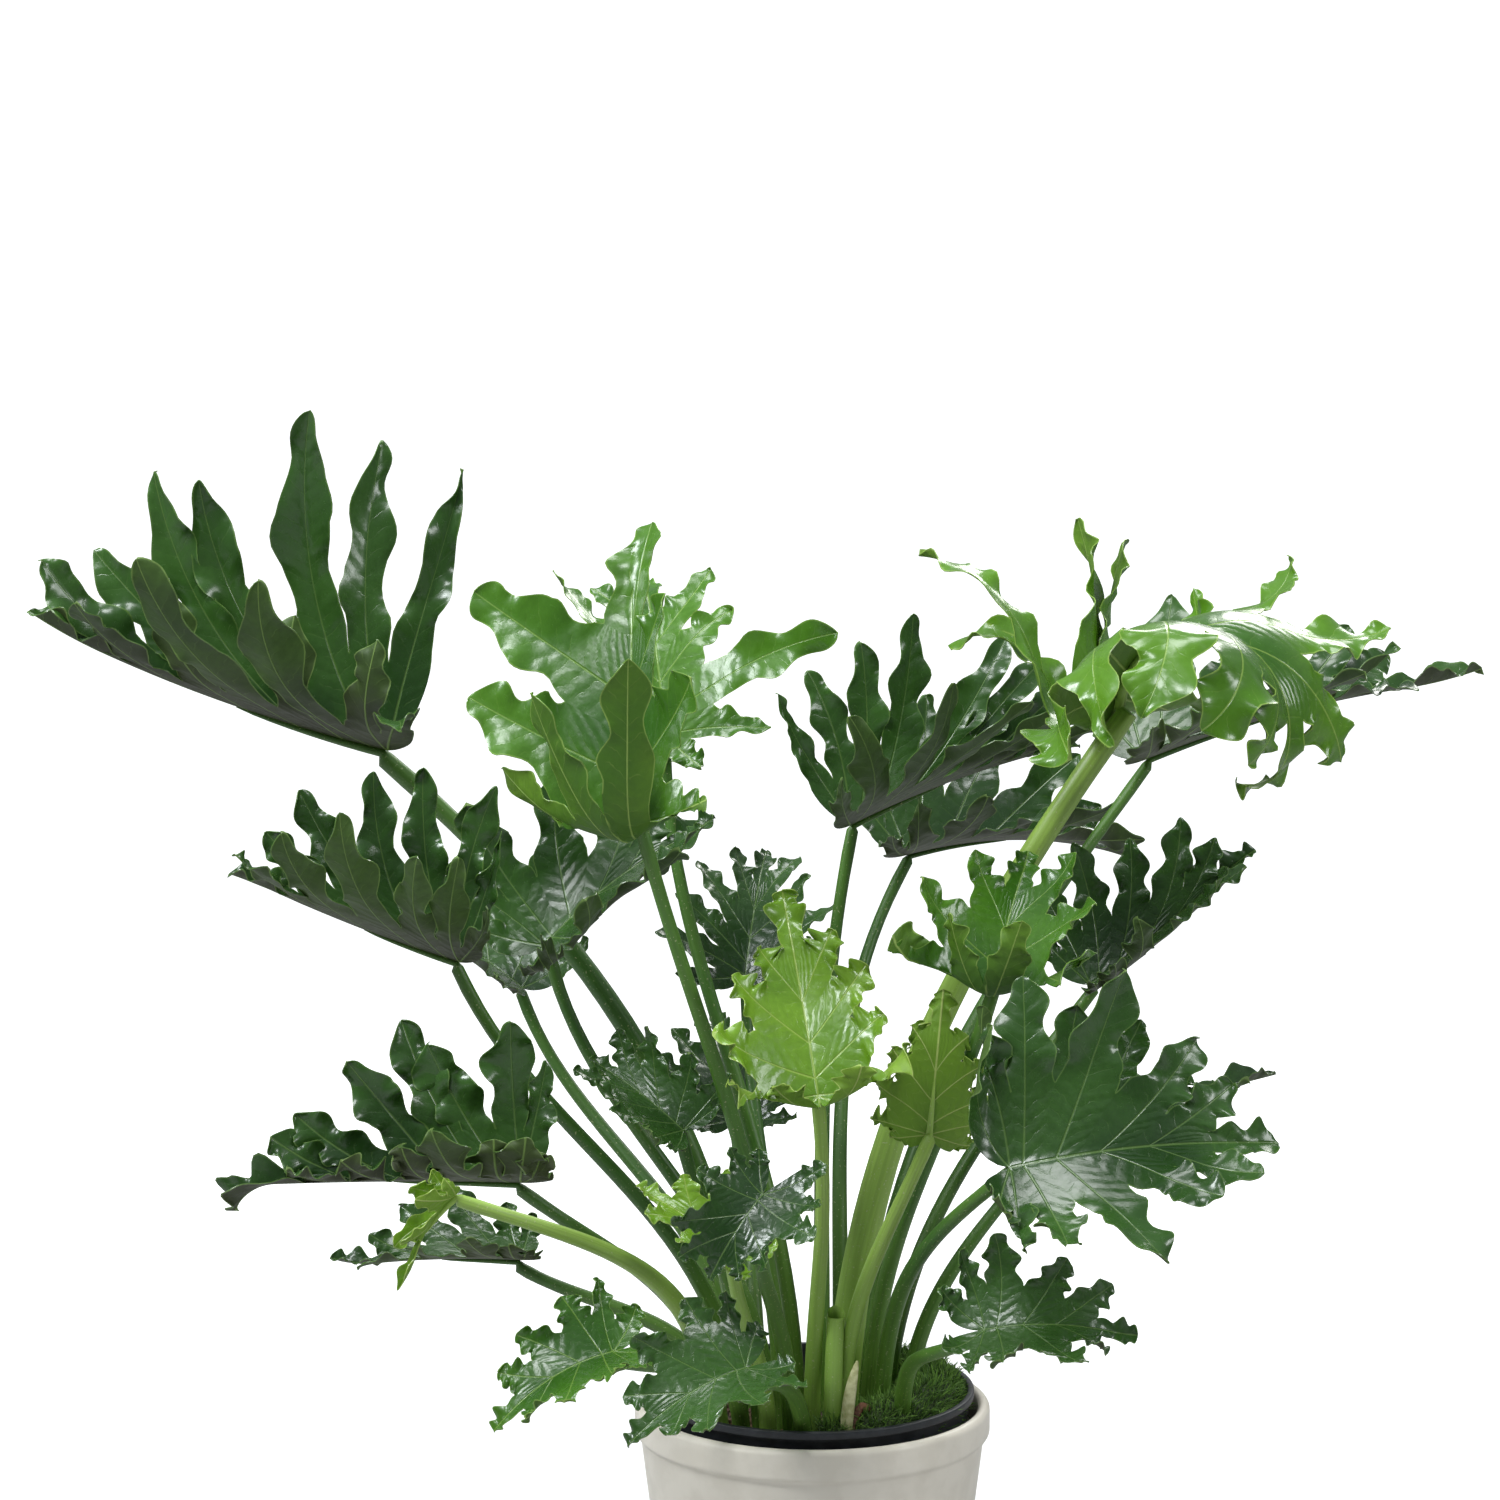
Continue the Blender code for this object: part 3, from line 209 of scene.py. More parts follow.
# Square soft lamps: each one's place, the point it is turned to, its side, power and colour
LAMPS = {
    "overhead": dict(place=(-0.5, 0.3, 4.4), aim=(0, 0, 0), size=1.6, power=84,
                     colour=(0.98, 0.99, 1.0)),
    "high_front": dict(place=(-0.9, -2.2, 3.6), aim=(0, 0, 0.9), size=0.9, power=58,
                       colour=(0.96, 0.98, 1.0)),
    "window_left": dict(place=(-2.6, -0.9, 2.7), aim=(0, 0, 0.8), size=0.9, power=80,
                        colour=(0.93, 0.97, 1.0)),
    "window_right": dict(place=(2.6, -1.4, 2.2), aim=(0, 0, 0.8), size=0.9, power=34,
                         colour=(0.97, 0.99, 1.0)),
    "window_back": dict(place=(1.3, 2.5, 2.8), aim=(0, 0, 0.8), size=1.2, power=44,
                        colour=(1.0, 0.99, 0.96)),
}

# Each leaf: where its blade meets its stalk, the blade's forward and up directions, its length,
# the stalk's foot in the soil, the direction it arrives by, and what differs from LEAF_DEFAULTS.
LEAF_ROWS = {
    "high_left": dict(
        joint=(-0.435, 0.08, 0.974), forward=(-0.97, -0.1, 0.24), up=(0.1, -0.5, 0.87), length=0.38,
        foot=(-0.062, 0.012), arrive=(-0.75, 0.05, 0.65), thick=(0.013, 0.009), lobes=7, fold=50,
        cup=0.5, droop=0.3, back=1, cut=0.3, width=1.3, curl=-2, wave=0.016, seed=11, spread=0.66,
        blunt=5.2,
        lobe={"R0": dict(reach=1.3, turn=-1, curl=-10), "R1": dict(reach=1.1, turn=-7, twist=35),
              "R2": dict(reach=1.03, turn=-8, wide=1.1), "R3": dict(turn=-13, wide=0.9),
              "R4": dict(turn=-9, wide=0.85), "R5": dict(reach=0.96, turn=-11, curl=-22),
              "R6": dict(reach=1.15, turn=-4, curl=10), "L0": dict(reach=0.85, curl=-45, twist=50),
              "L1": dict(reach=0.66, curl=60, twist=-40),
              "L2": dict(reach=0.92, curl=34, turn=-12, wide=1.15),
              "L3": dict(reach=0.56, curl=70, twist=30), "L4": dict(reach=0.95, curl=28, turn=-10),
              "L5": dict(reach=0.62, curl=60), "L6": dict(reach=0.8, curl=10)}),
    "top_middle": dict(
        joint=(-0.168, -0.24, 0.927), forward=(-0.06, 0.26, 0.96), up=(-0.5, -0.85, 0.25), length=0.31,
        foot=(-0.03, -0.055), arrive=(-0.25, -0.15, 1), tone="mid", lobes=4, fold=20, cup=0.4,
        droop=-0.2, back=18, fan=2.6, curl=4, wave=0.008, seed=5, blunt=5.5, twist=14,
        lobe={"L0": dict(turn=26, reach=1.42, curl=4, wide=0.8),
              "R0": dict(turn=24, reach=1.5, curl=-4, wide=0.75),
              "L1": dict(turn=34, reach=1.25, curl=6, wide=0.85),
              "R1": dict(turn=-4, reach=0.6, curl=20), "L2": dict(turn=-4, reach=1.08, curl=0),
              "R2": dict(turn=-10, reach=0.8, curl=14), "L3": dict(turn=6, reach=1.15, curl=4),
              "R3": dict(turn=-6, reach=0.62, wide=0.7),
              "T": dict(reach=0.84, turn=10, wide=1.05, curl=-10, twist=0)}),
    "top_back": dict(
        joint=(-0.153, 0.19, 0.983), forward=(-0.1, 0.3, 0.95), up=(0.05, -0.9, 0.4), length=0.24,
        foot=(-0.015, 0.04), arrive=(0, 0.1, 1), tone="mid", lobes=5, fold=14, droop=-1, cut=0.36,
        curl=-16, seed=7, slim=1.1,
        lobe={"T": dict(reach=1.1, curl=0), "L0": dict(reach=0.6), "L1": dict(reach=0.6),
              "L2": dict(reach=1.1), "L3": dict(reach=1.25, turn=-10, curl=10), "R0": dict(reach=0.5),
              "R1": dict(reach=0.75, turn=-12, curl=-40),
              "R2": dict(reach=1.35, turn=2, curl=-34, twist=40),
              "R3": dict(reach=0.85, turn=-6, curl=-30)}),
    "upper_left": dict(
        joint=(-0.341, -0.14, 0.786), forward=(-0.94, -0.12, 0.31), up=(0.15, -0.45, 0.9), length=0.23,
        foot=(-0.072, -0.045), arrive=(-0.4, 0, 0.9), lobes=6, fold=46, droop=0.2, cut=0.34, width=1.24,
        curl=-2, wave=0.024, blunt=4.2, seed=4, slim=1.4, spread=0.68),
    "inner_left": dict(
        joint=(-0.268, -0.02, 0.786), forward=(0.66, 0.18, 0.72), up=(-0.3, -0.7, 0.9), length=0.22,
        foot=(-0.042, -0.012), arrive=(-0.2, 0, 1), lobes=6, fold=20, cup=1, droop=-0.6, cut=0.38,
        width=1.05, curl=12, wave=0.024, blunt=4.5, seed=9, slim=1.5, spread=0.85),
    "back_left": dict(
        joint=(-0.309, 0.22, 0.707), forward=(-0.68, 0.57, 0.46), up=(0, -0.4, 1), length=0.22,
        foot=(-0.07, 0.06), arrive=(-0.35, 0.1, 1), lobes=5, fold=30, cup=1, cut=0.4, width=1.1, curl=10,
        seed=10, spread=0.8),
    "inner_right": dict(
        joint=(0.041, 0.1, 0.895), forward=(0.89, 0.15, 0.43), up=(-0.3, -0.55, 0.8), length=0.26,
        foot=(0.01, 0.02), arrive=(0.2, 0, 1), lobes=7, fold=42, droop=-0.3, back=1.5, cut=0.32,
        width=1.25, curl=4, seed=13, spread=0.68),
    "back_right": dict(
        joint=(0.111, 0.32, 0.841), forward=(0.95, 0.21, 0.23), up=(-0.1, -0.4, 0.9), length=0.28,
        foot=(0.03, 0.055), arrive=(0.5, 0.1, 0.9), lobes=6, fold=32, cup=1, droop=-0.6, cut=0.36,
        width=0.95, wave=0.016, seed=14, spread=0.8),
    "top_right": dict(
        joint=(0.289, -0.1, 1.024), forward=(0.06, -0.12, 0.99), up=(-0.78, 0.55, 0.1), length=0.35,
        foot=(0.028, -0.018), arrive=(0.55, 0, 0.8), thick=(0.018, 0.01), tone="fresh", lobes=7, fold=24,
        cup=-2.4, droop=-3.8, back=16, fan=2.9, cut=0.44, width=0.95, curl=-10, wave=0.02, seed=15,
        slim=1.6, twist=20,
        lobe={"L0": dict(turn=-6, reach=1.9, curl=0, wide=1.25, twist=0),
              "L1": dict(turn=22, reach=1.6, curl=36, wide=1.2), "L2": dict(reach=1.1, curl=100, turn=6),
              "L3": dict(reach=0.85, curl=125), "L4": dict(reach=0.9, curl=120),
              "L5": dict(reach=1.15, curl=95), "R0": dict(turn=20, reach=1.5, curl=-115, wide=0.95),
              "R1": dict(turn=44, reach=1.45, curl=-80, wide=0.9),
              "R2": dict(reach=0.8, turn=0, wide=1.2, curl=-30), "R3": dict(reach=1, curl=-25, wide=1.3),
              "R4": dict(reach=1.05, curl=-30, wide=1.35), "R5": dict(reach=1.1, curl=-35, wide=1.2),
              "T": dict(reach=1.1, curl=-50)}),
    "far_right": dict(
        joint=(0.37, 0.29, 0.949), forward=(0.92, 0.16, 0.35), up=(-0.38, -0.3, 0.9), length=0.4,
        foot=(0.052, 0.03), arrive=(0.55, 0.1, 0.75), lobes=6, fold=26, cup=0.5, droop=-0.3, back=1.5,
        cut=0.3, width=0.74, curl=6, wave=0.016, seed=16, spread=0.66),
    "upper_right": dict(
        joint=(0.294, 0.13, 0.724), forward=(0.81, 0.1, 0.58), up=(-0.45, -0.6, 0.7), length=0.22,
        foot=(0.075, 0.01), arrive=(0.6, 0, 0.8), lobes=6, fold=30, cup=1, droop=0.2, curl=6, wave=0.022,
        seed=17, slim=1.4, spread=0.7),
    "middle_right": dict(
        joint=(0.163, -0.215, 0.772), forward=(0.22, 0.44, 0.87), up=(-0.2, -0.85, 0.5), length=0.16,
        foot=(0.055, -0.04), arrive=(0.3, -0.1, 1), tone="mid", lobes=4, fold=15, cup=1, droop=-0.6,
        back=14, fan=2.2, cut=0.5, width=1.15, curl=14, wave=0.022, seed=18, base_curl=4, blunt=4.2,
        lobe={"L0": dict(turn=20, reach=1.35), "R0": dict(turn=20, reach=1.3),
              "R1": dict(turn=16, reach=1.1)}),
    "big_right": dict(
        joint=(0.172, -0.312, 0.623), forward=(0.96, -0.1, 0.24), up=(-0.15, -0.8, 0.6), length=0.25,
        foot=(0.065, -0.075), arrive=(0.6, -0.45, 0.6), lobes=6, fold=16, cup=0.4, droop=-0.6, back=8,
        fan=1.6, width=0.98, wave=0.016, seed=19, slim=1.5, spread=0.85, blunt=5.2,
        lobe={"L0": dict(reach=1.2, curl=20), "L1": dict(reach=1.12), "L2": dict(reach=1.05, curl=-10),
              "R1": dict(reach=0.7), "R0": dict(reach=0.7), "R2": dict(reach=0.75)}),
    "behind_right": dict(
        joint=(0.222, 0.02, 0.561), forward=(0.88, 0.2, 0.42), up=(-0.4, -0.5, 0.8), length=0.28,
        foot=(0.095, -0.01), arrive=(0.6, 0.1, 0.7), lobes=5, fold=25, back=1.5, cut=0.4, width=0.8,
        seed=20, spread=0.75),
    "young_right": dict(
        joint=(0.106, -0.2, 0.631), forward=(0.05, -0.41, 0.91), up=(0.1, 0.9, 0.3), length=0.14,
        foot=(0.025, -0.085), arrive=(0.35, -0.2, 0.9), tone="young", lobes=5, fold=14, droop=0.8,
        cut=0.66, width=0.82, curl=6, wave=0.024, blunt=4.5, seed=21, slim=1.6, spread=0.85),
    "young_middle": dict(
        joint=(0, -0.24, 0.676), forward=(-0.15, 0.37, 0.92), up=(0, -0.9, 0.35), length=0.2,
        foot=(-0.002, -0.085), arrive=(-0.1, -0.1, 1), tone="young", lobes=5, fold=12, cup=1, droop=-0.5,
        back=14, fan=2.35, cut=0.6, width=0.8, wave=0.024, seed=22, slim=1.6, base_curl=4, spread=0.8,
        blunt=4.5,
        lobe={"L0": dict(turn=28, reach=1.1), "R0": dict(turn=28, reach=1.15),
              "L1": dict(turn=20, reach=1.05), "R1": dict(turn=20, reach=1.05), "T": dict(reach=1.2)}),
    "middle_back": dict(
        joint=(-0.068, 0.22, 0.721), forward=(0.11, 0.42, 0.9), up=(-0.1, -0.9, 0.4), length=0.17,
        foot=(-0.03, 0.075), arrive=(0, 0.1, 1), lobes=5, fold=15, droop=-0.6, cut=0.36, width=1.1,
        seed=23, spread=0.75),
    "big_left": dict(
        joint=(-0.278, -0.2, 0.585), forward=(-0.99, -0.15, 0.06), up=(0.05, -0.45, 0.9), length=0.285,
        foot=(-0.095, -0.05), arrive=(-0.8, 0, 0.6), lobes=7, fold=44, droop=-0.1, back=1.5, cut=0.36,
        width=0.86, curl=2, wave=0.024, blunt=4.8, seed=24, slim=1.45, spread=0.72, twist=34,
        lobe={"T": dict(reach=0.9, curl=-75, twist=0, wide=1.3),
              "L0": dict(reach=0.62, wide=1.3, curl=50),
              "L1": dict(reach=0.6, wide=1.35, curl=60, twist=0),
              "L2": dict(reach=0.56, wide=1.4, curl=70, twist=10),
              "L3": dict(reach=0.66, wide=1.3, curl=40, twist=-10),
              "L4": dict(reach=0.58, wide=1.3, curl=60), "L5": dict(reach=0.66, wide=1.2, curl=30),
              "L6": dict(reach=0.8), "R1": dict(reach=1.05, wide=1.25),
              "R2": dict(reach=0.95, wide=1.3, turn=-8)}),
    "low_left": dict(
        joint=(-0.297, 0.02, 0.458), forward=(-1, -0.05, 0.06), up=(0, -0.25, 1), length=0.19,
        foot=(-0.095, 0.01), arrive=(-0.8, 0, 0.5), lobes=5, fold=28, droop=-0.2, back=1.5, cut=0.38,
        width=0.9, wave=0.016, blunt=4.5, seed=25, spread=0.72,
        lobe={"L0": dict(reach=0.6, wide=1.4, curl=20, twist=0),
              "L1": dict(reach=0.62, wide=1.4, curl=30, twist=0),
              "L2": dict(reach=0.7, wide=1.3, curl=20, twist=0), "L3": dict(reach=0.9, curl=30),
              "R0": dict(reach=0.7), "R1": dict(reach=0.7)}),
    "new_left": dict(
        joint=(-0.327, -0.34, 0.604), forward=(-0.73, -0.3, -0.61), up=(-0.5, -0.4, 0.6), length=0.1,
        foot=(-0.095, -0.078), arrive=(-0.9, -0.2, 0.35), thick=(0.012, 0.006), tone="young", lobes=3,
        fold=40, cup=2, droop=-1, back=3, cut=0.3, width=0.8, curl=30, wave=0.01, seed=26, spread=0.7),
    "front_left": dict(
        joint=(-0.128, -0.12, 0.619), forward=(-0.72, 0.24, 0.66), up=(0.2, -0.75, 0.65), length=0.12,
        foot=(-0.052, -0.085), arrive=(-0.2, -0.1, 1), lobes=5, fold=20, cup=1, droop=-0.5, back=3,
        cut=0.48, width=1.15, curl=12, wave=0.024, blunt=4.8, seed=27, slim=1.4, spread=0.8,
        base_curl=20),
    "front_middle": dict(
        joint=(-0.052, -0.36, 0.609), forward=(-0.58, -0.58, -0.58), up=(0, -0.75, 0.6), length=0.09,
        foot=(-0.022, -0.108), arrive=(0.1, -0.6, 0.9), lobes=5, fold=6, droop=-1, back=1.5, cut=0.6,
        width=1.2, curl=6, wave=0.022, blunt=4.8, seed=28, slim=1.5,
        lobe={"L0": dict(reach=1.3), "L1": dict(reach=1.3)}),
    "young_front": dict(
        joint=(-0.078, -0.25, 0.53), forward=(-0.76, 0.13, 0.64), up=(0.3, -0.7, 0.6), length=0.11,
        foot=(-0.045, -0.118), arrive=(-0.1, -0.3, 1), tone="young", lobes=4, fold=20, cup=1, droop=-0.5,
        cut=0.55, width=0.9, curl=10, wave=0.016, blunt=4.8, seed=29, slim=1.4),
    "bottom_left": dict(
        joint=(-0.188, -0.31, 0.453), forward=(-0.86, -0.5, -0.07), up=(-0.2, -0.55, 0.8), length=0.13,
        foot=(-0.07, -0.104), arrive=(-0.75, -0.5, 0.35), tone="mid", lobes=5, fold=12, droop=-1,
        cut=0.58, width=0.95, curl=10, wave=0.02, blunt=4.8, seed=30, slim=1.5),
    "bottom_middle": dict(
        joint=(-0.067, -0.36, 0.452), forward=(-0.77, -0.64, -0.03), up=(-0.1, -0.65, 0.75), length=0.13,
        foot=(-0.01, -0.135), arrive=(-0.1, -0.8, 0.5), lobes=5, fold=12, droop=-1, cut=0.6, width=0.95,
        blunt=4.8, seed=31, slim=1.5),
    "bottom_right": dict(
        joint=(0.151, -0.3, 0.471), forward=(0.95, -0.21, 0.23), up=(-0.1, -0.65, 0.75), length=0.14,
        foot=(0.085, -0.095), arrive=(0.75, -0.4, 0.45), lobes=5, fold=15, droop=-0.8, cut=0.5,
        width=0.95, curl=10, wave=0.02, blunt=4.8, seed=32, slim=1.5),
    "low_back": dict(
        joint=(-0.079, 0.24, 0.559), forward=(-0.12, 0.58, 0.81), up=(0, -0.8, 0.6), length=0.17,
        foot=(-0.055, 0.105), arrive=(-0.1, 0.3, 1), lobes=5, fold=20, droop=-0.8, curl=10, seed=33,
        spread=0.8),
}

# Lobes of one half of a blade, from the stalk to the tip: where each starts along the midrib,
# how far it turns from the forward direction in degrees, and its reach, in blade lengths.
# The last row of each plan is the end lobe's start and reach.
LOBE_PLANS = {
    7: dict(root=[0, 0, 0.04, 0.12, 0.24, 0.38, 0.53], turn=[150, 122, 98, 80, 64, 49, 34],
            reach=[0.46, 0.58, 0.66, 0.68, 0.64, 0.54, 0.42], end=(0.70, 0.32)),
    6: dict(root=[0, 0, 0.05, 0.17, 0.33, 0.51], turn=[148, 116, 90, 70, 52, 36],
            reach=[0.46, 0.58, 0.66, 0.66, 0.56, 0.43], end=(0.68, 0.34)),
    5: dict(root=[0, 0, 0.08, 0.25, 0.46], turn=[144, 108, 80, 58, 40],
            reach=[0.44, 0.56, 0.62, 0.58, 0.45], end=(0.64, 0.38)),
    4: dict(root=[0, 0, 0.14, 0.38], turn=[138, 96, 66, 43],
            reach=[0.42, 0.54, 0.60, 0.50], end=(0.58, 0.44)),
    3: dict(root=[0, 0, 0.26], turn=[130, 82, 48], reach=[0.42, 0.54, 0.54], end=(0.50, 0.50)),
}

# What a leaf has unless its own row above says otherwise.  Thick is its stalk's radius at the
# foot and at the joint.  Fold is how far each half of the blade rises at the midrib, cup how much
# more it bends outward, droop and back the bend of the midrib ahead of and behind the stalk, and
# fan the most that it bends behind it.  Cut is the share of a lobe that is webbed, spread and
# width scale the lobes' turns and reaches, slim their widths, curl is the bend and twist the turn
# of a lobe beyond the web, base_curl the bend of the first two, blunt how late a lobe narrows,
# and wave the height of its margin's waves in blade lengths.  Fold, curl, base_curl and twist are
# degrees, and the other bends are radians in a blade length.  A lobe's own turn is added, its own
# reach and wide multiply, and its own curl and twist stand instead of the leaf's.
LEAF_DEFAULTS = dict(thick=(0.009, 0.006), tone="dark", cup=0.8, droop=-0.4, back=2.0, fan=2.4,
                     cut=0.42, width=1.0, curl=8, base_curl=None, twist=38, blunt=4.0, wave=0.018,
                     slim=1.3, spread=1.0, lobe={})
LEAVES = {name: {**LEAF_DEFAULTS, **row} for name, row in LEAF_ROWS.items()}


def unit(vectors):
    """Vectors divided by their own lengths."""
    return vectors / np.linalg.norm(vectors, axis=-1, keepdims=True)


def turning(axes, angles):
    """Rotation matrices about unit axes, by Rodrigues' formula: the identity times the cosine,
    plus the cross matrix times the sine, plus the outer product times one less the cosine."""
    x, y, z = np.moveaxis(axes, -1, 0)
    zero = np.zeros_like(x)
    cross = np.stack([zero, -z, y, z, zero, -x, -y, x, zero], -1).reshape(axes.shape[:-1] + (3, 3))
    outer = axes[..., :, None] * axes[..., None, :]
    c = np.cos(angles)[..., None, None]
    s = np.sin(angles)[..., None, None]
    return c * np.eye(3) + s * cross + (1 - c) * outer


def leaf_frame(leaf):
    """The joint, and the unit forward, up and right directions of a blade."""
    forward = unit(np.array(leaf["forward"], float))
    up = np.array(leaf["up"], float)
    up = unit(up - forward * (up @ forward))
    return np.array(leaf["joint"], float), forward, up, np.cross(forward, up)


def midrib_bend(leaf, along):
    """Turn, forward run and rise of the midrib at distances along it, in blade lengths.  Ahead
    of the stalk it is a circular arc of bend droop; behind it the turn is fan times the
    hyperbolic tangent of back times the distance over fan, summed up in small steps."""
    far = np.abs(along)
    steps = np.linspace(0, 1.6, 321)
    ahead = leaf["droop"] * steps
    behind = leaf["fan"] * np.tanh(leaf["back"] * steps / leaf["fan"])
    values = []
    for turn in (ahead, behind):
        for part in (turn, np.cos(turn), np.sin(turn)):
            mean = (part[1:] + part[:-1]) / 2
            total = part if part is turn else np.concatenate([[0], np.cumsum(mean)]) * steps[1]
            values.append(np.interp(far, steps, total))
    front = along >= 0
    turn, run, rise = (np.where(front, a, b) for a, b in zip(values[:3], values[3:]))
    return turn, run * np.where(front, 1, -1), rise


def lay(leaf, flat):
    """Flat blade points (right, forward), in blade lengths, put in space: along the bent
    midrib, each half leaving it at the fold angle and bending on outward as an arc of bend
    cup."""
    joint, forward, up, right = leaf_frame(leaf)
    side, along = flat[..., 0], flat[..., 1]
    turn, run, rise = midrib_bend(leaf, along)
    lean = turn * np.where(along >= 0, -1, 1)
    normal = np.cos(lean)[..., None] * up + np.sin(lean)[..., None] * forward
    fold = radians(leaf["fold"])
    cup = leaf["cup"]
    angle = fold + cup * np.abs(side)
    out = (np.sin(angle) - sin(fold)) / cup * np.sign(side)
    lift = (cos(fold) - np.cos(angle)) / cup
    return joint + leaf["length"] * (run[..., None] * forward + rise[..., None] * up
                                     + out[..., None] * right + lift[..., None] * normal)


def lobe_list(leaf, rng):
    """The blade's lobes in order around its edge, left base to tip to right base."""
    plan = LOBE_PLANS[leaf["lobes"]]
    halves = {}
    for side, letter in ((-1, "L"), (1, "R")):
        lobes = []
        for i, (root, turn, reach) in enumerate(zip(plan["root"], plan["turn"], plan["reach"])):
            own = leaf["lobe"].get(f"{letter}{i}", {})
            angle = radians(turn * leaf["spread"] + rng.uniform(-TURN_PLAY, TURN_PLAY) + own.get("turn", 0))
            size = reach * leaf["width"] * (1 + rng.uniform(-REACH_PLAY, REACH_PLAY)) * own.get("reach", 1)
            heading = np.array([side * sin(angle), cos(angle)])
            bow = -LOBE_BOW * side + rng.uniform(-BOW_PLAY, BOW_PLAY)
            lobes.append(dict(start=np.array([0, root]), heading=heading, reach=size,
                              bow=bow, side=side, index=i, own=own))
        halves[side] = lobes
    own = leaf["lobe"].get("T", {})
    angle = radians(own.get("turn", 0))
    start, reach = plan["end"]
    tip = dict(start=np.array([0, start]), heading=np.array([sin(angle), cos(angle)]),
               reach=reach * own.get("reach", 1), bow=0, side=0, index=leaf["lobes"], own=own)
    return halves[-1] + [tip] + halves[1][::-1]


def vein(lobe, share):
    """Flat points along a lobe's main vein: a straight run plus a shallow bow of height bow
    times share times one less share, to the right of its heading."""
    share = np.asarray(share, float)[..., None]
    across = np.array([lobe["heading"][1], -lobe["heading"][0]])
    return (lobe["start"] + lobe["heading"] * lobe["reach"] * share
            + across * lobe["bow"] * lobe["reach"] * share * (1 - share))


def vein_right(lobe, share):
    """Flat unit directions to the right of a lobe's vein."""
    step = 0.001
    ahead = unit(vein(lobe, share + step) - vein(lobe, share - step))
    return np.stack([ahead[..., 1], -ahead[..., 0]], -1)


def free_shares():
    """Shares of a lobe's free part, closer together toward its tip: one less a power of what
    is left."""
    return 1 - (1 - np.linspace(0, 1, FREE_ROWS + 1)) ** 1.35


def teeth(detail, free, length):
    """Shares added to a lobe's half width: rounded scallops, a root of the sine of the beat,
    more of them on a longer lobe."""
    count = detail.uniform(0.9, 1.6) + 16 * length
    beat = (count * free ** 0.9 + detail.uniform(0, 1)) % 1
    size = detail.uniform(0.12, 0.26) * min(1, 0.2 + 7 * length)
    return size * (np.sin(pi * beat) ** 0.6 - 0.70) * np.minimum(1, 5 * free) * (1 - free) ** 0.6


def ripples(detail, outward, height, across):
    """Lift of a lobe's margin along its normal: a sine of the share along the lobe whose beat
    slows and quickens, times a power of the share across."""
    beats, start = detail.uniform(2.4, 4.4), detail.uniform(0, 2 * pi)
    wave = np.sin(2 * pi * beats * outward + start + 0.9 * np.sin(2 * pi * 1.4 * outward + start))
    return RIPPLE * height * (wave * np.minimum(1, 4 * outward))[:, None] * np.abs(across) ** 2.2


